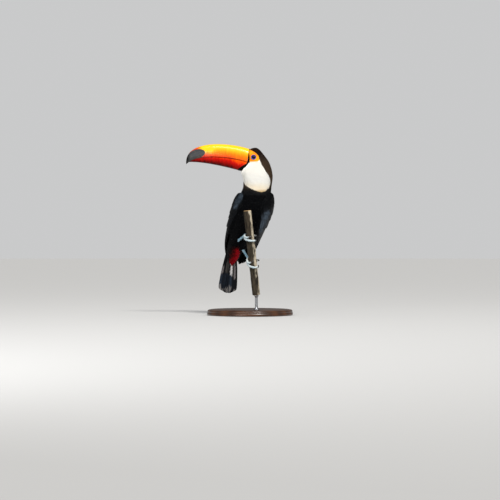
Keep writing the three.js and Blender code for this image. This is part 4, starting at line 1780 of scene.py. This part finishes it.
def tail_feather(pair, way):
    """The middle line and the normals of one tail feather, by its pair and its side of the tail."""
    middle, across, back, down, first, last = tail_frame()
    root_across = way * (1.5 + ROOT_FAN[way] * pair) - 1.5
    tip_across = way * (3.3 + TIP_FAN[way] * pair) - 3.5
    end = last + 0.8 - 2.3 * pair
    depth = 2.2 - 1.15 * pair + 0.28 * way
    s = TAIL_STATIONS[:, None]
    curl = 0.02 * (3.3 + 3.4 * pair) ** 2
    line = (
        middle
        + across * mix(root_across, tip_across, s**1.1)
        + down * mix(first + 2, end, s)
        + back * (depth - 0.6 * np.sin(math.pi * s) - curl * s - 4 * (1 - s) ** 9)
    )
    return line, np.tile(back + across * tip_across * 0.012, (len(s), 1))


def make_tail():
    """Ten tail feathers, the middle pair on top and the outer ones shorter and under them."""
    order = [(pair, way) for pair in range(5) for way in (1, -1)]
    spots, normals = (np.array(part) for part in zip(*(tail_feather(*which) for which in order)))
    widths = np.array([26 - 1.6 * pair for pair, _ in order])
    count = len(order)
    tints = np.tile(paint("black_gloss"), (count, 1))
    places = np.stack([np.linspace(0.1, 0.9, count), np.full(count, 0.5)], 1)
    chance = np.random.default_rng(5).uniform(0.2, 0.9, count)
    heights = np.zeros((count, len(TAIL_STATIONS)))
    piece = lay("tail_feathers", spots, unit(normals), widths, heights, TAIL_OUTLINE, tints, places,
                chance, thick=0.7, camber=0.06, columns=23, quill=0.45)
    colour_tail(piece)
    return piece


tail_plumes = plumage("tail_plumage", 0.45, 0.0, 0.8, 0.88, specular_ior_level=0.1)
keep(tail_plumes.on(make_tail()), "flight_feathers", "tail")

# ---- Feet ----


def perch_axis():
    """Middle points of the perch's lower and upper end."""
    points = points_of(nodes["perch"].data)
    z = points[:, 2]
    lower, upper = points[z < z.min() + 1], points[z > z.max() - 1]
    return lower.mean(0), upper.mean(0)


PERCH_LOW, PERCH_HIGH = perch_axis()
PERCH_WAY = unit(PERCH_HIGH - PERCH_LOW)
PERCH_LENGTH = float(np.linalg.norm(PERCH_HIGH - PERCH_LOW))


def round_perch(points):
    """Each point's angle round the perch, its distance from the axis and its way out from it."""
    along = dot(points - PERCH_LOW, PERCH_WAY)
    off = points - PERCH_LOW - PERCH_WAY * along[:, None]
    return np.arctan2(off[:, 1], off[:, 0]), np.linalg.norm(off, axis=1), unit(off)


def plates(distance, pitch):
    """Overlapping plates along a limb: each rises slowly and drops off at its end, from 0 to 1."""
    share = (distance / pitch) % 1
    return np.minimum(share / 0.78, (1 - share) / 0.22)


def join_meshes(name, parts):
    """One piece from several (points, faces, colours, vectors)."""
    shift, points, faces = 0, [], []
    for p, f, _, _ in parts:
        points.append(p)
        faces.append(np.array(f) + shift)
        shift += len(p)
    piece = make_piece(name, np.concatenate(points), np.concatenate(faces))
    set_colours(piece, "tint", np.concatenate([c for _, _, c, _ in parts]))
    set_vectors(piece, "vane", np.concatenate([v for _, _, _, v in parts]))
    return piece


GRIP_RADIUS = 15  # from the perch's axis to a toe's middle
PAD_LENGTH = 8.5
PLATE_PITCH = {"toe": 2.7, "tarsus": 3.4}
PLATE_RISE = {"toe": 0.34, "tarsus": 0.32}


def toe_relief(points, normals):
    """How far along its toe each point is, whether it is on the toe's outer side, and how far the pads
    and the joints stand out."""
    angle, _, out = round_perch(points)
    middle = np.angle(np.exp(1j * angle).mean())
    distance = np.angle(np.exp(1j * (angle - middle))) * GRIP_RADIUS + 100
    outer = step(-0.35, 0.25, dot(normals, out))
    pads = 0.3 * np.abs(np.sin(distance * math.pi / PAD_LENGTH)) * (1 - outer)
    from_joint = (distance + 2) % PAD_LENGTH - PAD_LENGTH / 2
    return distance, outer, pads, 0.3 * np.exp(-((from_joint / 1.7) ** 2)) * outer


def tarsus_relief(points):
    """The same for a tarsus, which is plated all round and thinner than its solid."""
    way = unit(points[points[:, 1].argmin()] - points[points[:, 1].argmax()])
    return dot(points, way) + 200, np.ones(len(points)), 0, -0.45


def foot_part(node):
    """A toe or tarsus of scaly skin, from its CAD solid: broad plates over it, pads under it."""
    mesh = melted([node], 0.5, 14, 0.28)
    points, normals, faces = points_of(mesh), normals_of(mesh), faces_of(mesh)
    bpy.data.meshes.remove(mesh)
    kind = node.split("_")[0]
    distance, outer, pads, joints = toe_relief(points, normals) if kind == "toe" else tarsus_relief(points)
    scales = plates(distance, PLATE_PITCH[kind])
    moved = points + normals * (scales * outer * PLATE_RISE[kind] + pads + joints - 0.2)[:, None]
    seam = step(0.3, 0.02, scales) * outer
    pale = 0.62 if kind == "toe" else 0.12
    # Toes are paler than tarsi and vary at random, and surfaces that face up are lighter, as painted light.
    paleness_and_top_light = pale + 0.12 * ripple(points, 7, 55) + 0.2 * normals[:, 2] * pale
    tone = mix(paint("foot"), paint("foot_pale"), paleness_and_top_light)
    tone = mix(tone, paint("foot") * 0.4, seam * 0.6)
    tone = mix(tone, paint("foot_pad"), (1 - outer) * 0.6)
    return moved, faces, tone, np.stack([distance, outer, np.zeros(len(points))], 1)


def claw_ends(node, toe):
    """The middles of a CAD claw's two ends, the one by the toe first, drawn out a little."""
    points = points_of(nodes[node].data)
    middle = points.mean(0)
    _, _, ways = np.linalg.svd(points - middle, full_matrices=False)
    reach = (points - middle) @ ways[0]
    ends = [points[reach < np.quantile(reach, 0.2)], points[reach > np.quantile(reach, 0.8)]]
    from_toe = near(toe)
    base, tip = sorted((end.mean(0) for end in ends), key=lambda spot: from_toe(spot[None])[0])
    along = unit(tip - base)
    return base - along * 1.6, tip + along * 1.2, along


def claw_rings(side, n):
    """A curved claw, deeper than it is wide, from its toe to a tip on the bark: its rings, and how far
    along it each one is."""
    base, tip, along = claw_ends(f"claw_{side}_{n}", f"toe_{side}_{n}")
    _, _, outward = round_perch(np.stack([base, (base + tip) / 2, tip]))
    control = (base + tip) / 2 + outward[1] * 3.2 + along * 0.8
    tip = tip - outward[2] * 1.1
    t = np.linspace(0, 1, 26)[:, None]
    line = base * (1 - t) ** 2 + control * 2 * t * (1 - t) + tip * t**2
    ahead = unit(np.gradient(line, axis=0))
    sideways = unit(np.cross(ahead, outward[1]))
    up = np.cross(sideways, ahead)
    turn = full_turn(22)
    size = 2.3 * (1 - t[:, 0]) ** 0.72 + 0.1
    high = np.where(np.sin(turn) > 0, 1.12, 0.95) * np.sin(turn)
    rings = (
        line[:, None]
        + sideways[:, None] * (0.8 * size[:, None] * np.cos(turn))[..., None]
        + up[:, None] * (size[:, None] * high)[..., None]
    )
    return rings, t[:, 0]


def scaly_look():
    look = Look("foot_scales", roughness=0.45, specular_ior_level=0.45)
    cells = look.cells(900.0)
    grime = look.noise(420.0, look.place(), 4.0)
    seams = look.band(cells, 0.0, 0.12, 0.72, 1.0)
    look.shade_tint(look.times(seams, look.band(grime, 0.3, 0.7, 0.82, 1.06)))
    look.bump(look.band(cells, 0.0, 0.15), 0.5, 0.12)
    return look


def claw_look():
    look = Look("claw_horn", roughness=0.28, specular_ior_level=0.5)
    streak = look.noise(600.0, look.stretched(look.place(), 0.4, 1.0, 1.0), 3.0)
    share = look.band(streak, 0.35, 0.7, 0.0, 0.5)
    look.set("Base Color", look.blend(share, look.tint(), paint("claw_streak")))
    look.bump(streak, 0.3, 0.08)
    return look


scales_look, claws_look = scaly_look(), claw_look()
for side in SIDES:
    limbs = [f"tarsus_{side}", *(f"toe_{side}_{n}" for n in TOES)]
    foot = join_meshes(f"foot_{side}", [foot_part(node) for node in limbs])
    keep(scales_look.on(foot), "foot_skin", *limbs)
    for n in TOES:
        rings, share = claw_rings(side, n)
        claw = lathe_like(f"claw_horn_{side}_{n}", rings)
        shares = np.concatenate([np.repeat(share, rings.shape[1]), [0, 1]])
        set_colours(claw, "tint", mix(paint("claw_base"), paint("claw"), step(0.0, 0.35, shares)))
        keep(claws_look.on(claw), "claw", f"claw_{side}_{n}")

# ---- Perch ----

PERCH_RADIUS = float(np.median(round_perch(points_of(nodes["perch"].data))[1]))
KNOTS = ((46, 0.6), (123, 2.8), (204, 4.4))  # how far up the perch, and the angle round it
PERCH_ROWS, PERCH_COLUMNS = 420, 150
SUNNY_SIDE = unit(np.array([1.0, -0.25, 0.0]))  # the side where sunlight is painted on the bark


def crossways(way):
    """Two directions across a way, and across each other."""
    across = unit(np.cross(way, [0.0, 1.0, 0.0]))
    return across, np.cross(way, across)


def bark_colours(points, shade, dark):
    """Brown bark, mottled and here and there olive, with sunlight painted on its sunny side, and dark in
    its cracks.
    """
    mottle = rough(points * [1, 1, 0.45], 9, 64, 3)
    tone = mix(paint("bark"), paint("bark_pale"), step(-0.5, 0.9, shade + 0.6 * mottle))
    tone = mix(tone, paint("bark_olive"), step(0.0, 0.8, rough(points, 16, 67, 3)) * 0.7)
    _, _, outward = round_perch(points)
    # Painted sunlight: the bark is paler on the side that the sun would light.
    sunny = step(0.48, 0.88, outward @ SUNNY_SIDE + 0.2 * mottle)
    painted_sunlight = mix(paint("bark_pale"), paint("bark_sunny"), step(-0.9, 0.3, shade + 0.5 * mottle))
    tone = mix(tone, painted_sunlight, sunny * 0.9)
    return mix(tone, paint("bark_dark"), np.clip(dark, 0, 1) * 0.8)


def make_perch():
    """A cut length of branch: ridged bark with knots, and sawn ends."""
    along = np.linspace(0, PERCH_LENGTH, PERCH_ROWS)
    radius = PERCH_RADIUS * (1 + 0.04 * (1 - 2 * along / PERCH_LENGTH) / 2)
    a, w = np.meshgrid(along, full_turn(PERCH_COLUMNS), indexing="ij")
    flat = np.stack([np.cos(w) * PERCH_RADIUS, np.sin(w) * PERCH_RADIUS, a], -1).reshape(-1, 3)
    ridges = rough(flat * [1, 1, 0.22], 5.0, 61, 4).reshape(a.shape)
    grain = rough(flat * [1, 1, 0.5], 1.5, 66, 2).reshape(a.shape)
    pores = ripple(flat * [1, 1, 2.6], 3.2, 62).reshape(a.shape)
    lumps = ripple(flat, 26, 63).reshape(a.shape)
    cracks = step(-0.35, -0.62, ridges)
    r = radius[:, None] + 0.42 * ridges - 0.35 * cracks + 0.12 * grain + 0.5 * lumps
    r += 0.22 * step(0.62, 0.85, pores)
    knot_at = np.zeros_like(r)
    for height, angle in KNOTS:
        off = np.hypot(a - height, PERCH_RADIUS * np.angle(np.exp(1j * (w - angle))))
        r += 1.5 * np.exp(-((off / 5.5) ** 2)) - 1.6 * np.exp(-((off / 2.0) ** 2))
        knot_at += np.exp(-((off / 3.2) ** 2))
    ends = np.minimum(a, PERCH_LENGTH - a)
    r -= 0.7 * np.clip(1 - ends / 0.8, 0, 1) ** 2
    across, other = crossways(PERCH_WAY)
    middle = PERCH_LOW + PERCH_WAY * a[..., None]
    rings = middle + r[..., None] * (across * np.cos(w)[..., None] + other * np.sin(w)[..., None])
    piece = lathe_like("perch_branch", rings)
    shade = np.concatenate([(ridges * 0.6 + grain * 0.4).ravel(), [0, 0]])
    dark = np.concatenate([(cracks + knot_at).ravel(), [0, 0]])
    set_colours(piece, "tint", bark_colours(points_of(piece.data), shade, dark))
    return piece


def bark_look():
    look = Look("bark", roughness=0.85, specular_ior_level=0.25)
    place = look.place()
    mottle = look.noise(70.0, place, 5.0, 0.65)
    speck = look.noise(500.0, look.stretched(place, 1.0, 1.0, 0.4), 3.0)
    patches = look.band(mottle, 0.35, 0.65, 0.72, 1.15)
    look.shade_tint(look.times(patches, look.band(speck, 0.3, 0.7, 0.78, 1.12)))
    look.bump(look.plus(mottle, look.times(speck, 0.5)), 0.6, 0.5)
    return look


# A sawn end's section, from under its edge to its middle: radii as shares of the perch's, and how far
# out the face stands.
END_RADII = np.array([0.92, 0.93, 0.92, 0.88, 0.75, 0.58, 0.4, 0.22, 0.09]) * PERCH_RADIUS
END_LIFTS = np.array([-0.3, 0.0, 0.22, 0.3, 0.28, 0.25, 0.22, 0.2, 0.18])


def make_perch_end(name, centre, way):
    """A sawn end's face, with rings, as a thin disc set on the branch."""
    across, other = crossways(way)
    turn = full_turn(96)
    rings = (
        centre
        + (across * np.cos(turn)[:, None] + other * np.sin(turn)[:, None])[None] * END_RADII[:, None, None]
        + way * END_LIFTS[:, None, None]
    )
    piece = lathe_like(name, rings)
    points = points_of(piece.data) - centre
    off = np.linalg.norm(points - way * dot(points, way)[:, None], axis=1)
    set_vectors(piece, "vane", np.stack([off, points[:, 0], points[:, 1]], 1))
    return piece


def sawn_look():
    """Growth rings round a dark core."""
    look = Look("sawn_wood", roughness=0.7, specular_ior_level=0.25)
    radius = look.node("SeparateXYZ", vector=look.vane()).outputs[0]
    wobble = look.times(look.noise(300.0, look.place(), 2.0), 1.2)
    rings = look.math("SINE", look.times(look.plus(radius, wobble), 4.2))
    wood = look.blend(look.band(rings, -1.0, 1.0), paint("sawn"), paint("sawn_pale"))
    look.set("Base Color", look.blend(look.band(radius, 0.4, 2.2), paint("sawn_core"), wood))
    look.bump(rings, 0.3, 0.1)
    return look


keep(bark_look().on(make_perch()), "bark", "perch")
sawn = sawn_look()
for name, centre, way in (("perch_top", PERCH_HIGH, PERCH_WAY), ("perch_bottom", PERCH_LOW, -PERCH_WAY)):
    keep(sawn.on(make_perch_end(name, centre, way)), "cut_wood")

# ---- Stand ----


def turned(name, profile, node, columns):
    """A piece turned about a CAD node's upright axis, from (radius, height)."""
    low, high = box_of(node)
    x, y, _ = (low + high) / 2
    return lathe_like(name, spun(profile, columns) + [x, y, 0])


def arc(centre, radius, start, end, count):
    """Points of an arc in a turned piece's profile, in degrees from straight out."""
    angles = np.radians(np.linspace(start, end, count))
    return [(centre[0] + radius * math.cos(a), centre[1] + radius * math.sin(a)) for a in angles]


def make_base():
    """A round base with a groove and a soft upper edge."""
    radius, _, height = box_of("stand_base")[1]
    profile = [
        (4, 0.0), (radius - 3, 0.0), *arc((radius - 2.4, 2.4), 2.4, -80, 0, 6),
        (radius, 7.0), *arc((radius - 0.2, 8.2), 1.2, 200, 160, 4), (radius - 0.9, 9.4),
        *arc((radius - 6.0, height - 6.0), 5.2, 8, 84, 12), (radius - 7.4, height - 0.7),
        (radius - 9.0, height - 0.2), (radius - 11, height), (60, height), (4, height),
    ]
    return turned("stand_base_wood", profile, "stand_base", 160)


def wood_look():
    """Lacquered walnut: bands across the base with fine fibres along them."""
    look = Look("stand_wood", roughness=0.35, specular_ior_level=0.45, coat_weight=0.25, coat_roughness=0.2)
    place = look.place()
    warp = look.noise(7.0, place, 2.0)
    across = look.node("SeparateXYZ", vector=place).outputs[1]
    rings = look.math("SINE", look.plus(look.times(across, 230.0), look.times(warp, 9.0)))
    fibres = look.noise(90.0, look.stretched(place, 0.35, 9.0, 9.0), 4.0, 0.6)
    share = look.times(look.band(rings, -1.0, 1.0, 0.35, 1.0), look.band(fibres, 0.3, 0.7, 0.4, 1.0))
    look.set("Base Color", look.blend(share, paint("walnut_dark"), paint("walnut")))
    look.bump(fibres, 0.2, 0.12)
    return look


def make_rod():
    """The rod with a small collar where it enters the base and another under the branch."""
    low, high = box_of("stand_rod")
    radius = (high[0] - low[0]) / 2
    foot, top = low[2], high[2]
    profile = [
        (1, foot), (radius + 4.6, foot), (radius + 5.0, foot + 0.5), (radius + 4.6, foot + 1.6),
        (radius + 2.2, foot + 2.6), (radius + 1.1, foot + 4.2), (radius, foot + 6), (radius, foot + 10),
        (radius, top - 9), (radius, top - 4.6), (radius + 1.6, top - 4.2), (radius + 2.0, top - 3.6),
        (radius + 2.0, top - 0.4), (radius + 1.6, top), (1, top),
    ]
    return turned("stand_rod_steel", profile, "stand_rod", 64)


def steel_look():
    look = Look("stand_steel", roughness=0.3, metallic=1.0, base_color=(0.42, 0.43, 0.45, 1.0))
    brushed = look.noise(500.0, look.stretched(look.place(), 1.0, 1.0, 6.0), 2.0)
    look.set("Roughness", look.band(brushed, 0.3, 0.7, 0.24, 0.4))
    look.bump(brushed, 0.15, 0.05)
    return look


keep(wood_look().on(make_base()), "base_wood", "stand_base")
keep(steel_look().on(make_rod()), "rod_steel", "stand_rod")

# ---- Camera, floor and light ----

# In metres, as everything on the stage.
VIEW_WIDTH = 1.4  # across the frame, at the bird
CAMERA_AWAY = 4.5
CAMERA_HEIGHT = 0.1818
BIRD_MIDDLE = (0, 0, 0.3)
BILL_MIDDLE = (-0.1, 0, 0.45)
SENSOR = 36.0  # millimetres
FLOOR_RADIUS, FLOOR_Z = 30000, -0.4  # millimetres


def add_light(name, kind, place, target, energy, colour=(1, 1, 1), **settings):
    """A light at a place, turned towards a target."""
    data = bpy.data.lights.new(name, kind)
    data.energy = energy
    data.color = colour
    for key, value in settings.items():
        setattr(data, key, value)
    light = bpy.data.objects.new(name, data)
    light.location = place
    light.rotation_euler = (Vector(target) - Vector(place)).to_track_quat("-Z", "Y").to_euler()
    bpy.context.scene.collection.objects.link(light)


def make_world():
    """A pale, even surround, darker in reflections, as a studio with black flags round the lights is."""
    world = bpy.data.worlds.new("studio")
    world.use_nodes = True
    tree = world.node_tree
    background = tree.nodes["Background"]
    background.inputs["Color"].default_value = (0.89, 0.895, 0.9, 1)
    path = tree.nodes.new("ShaderNodeLightPath")
    strength = tree.nodes.new("ShaderNodeMapRange")
    strength.inputs["To Min"].default_value = 0.66
    strength.inputs["To Max"].default_value = 0.22
    tree.links.new(path.outputs["Is Glossy Ray"], strength.inputs["Value"])
    tree.links.new(strength.outputs["Result"], background.inputs["Strength"])
    return world


def add_camera():
    data = bpy.data.cameras.new("camera")
    data.sensor_width = SENSOR
    data.lens = SENSOR * CAMERA_AWAY / VIEW_WIDTH
    data.clip_end = 100
    camera = bpy.data.objects.new("camera", data)
    camera.location = (0, -CAMERA_AWAY, CAMERA_HEIGHT)
    camera.rotation_euler = (math.pi / 2, 0, 0)
    bpy.context.scene.collection.objects.link(camera)
    bpy.context.scene.camera = camera


def add_floor():
    turn = full_turn(64)
    disc = np.stack([np.cos(turn), np.sin(turn), np.zeros(64)], 1) * FLOOR_RADIUS + [0, 0, FLOOR_Z]
    floor = make_piece("floor", disc, np.arange(64)[None], smooth=False)
    Look("floor", roughness=0.9, base_color=(0.52, 0.52, 0.515, 1.0)).on(floor)


def set_stage():
    add_camera()
    add_floor()
    bpy.context.scene.world = make_world()
    bpy.context.scene.view_settings.view_transform = "Standard"
    sun_width = math.radians(12)
    add_light("key", "SUN", (0.75, -1.3, 2.1), BIRD_MIDDLE, 2.4, (1.0, 0.97, 0.93), angle=sun_width)
    add_light("fill", "AREA", (-1.2, -2.4, 0.9), BIRD_MIDDLE, 20, shape="DISK", size=1.2)
    # A strip high in front, which the bill's side mirrors as one long highlight.
    shape = {"shape": "RECTANGLE", "size": 1.2, "size_y": 0.14}
    add_light("strip", "AREA", (-0.02, -1.25, 2.45), BILL_MIDDLE, 16, **shape)


set_stage()
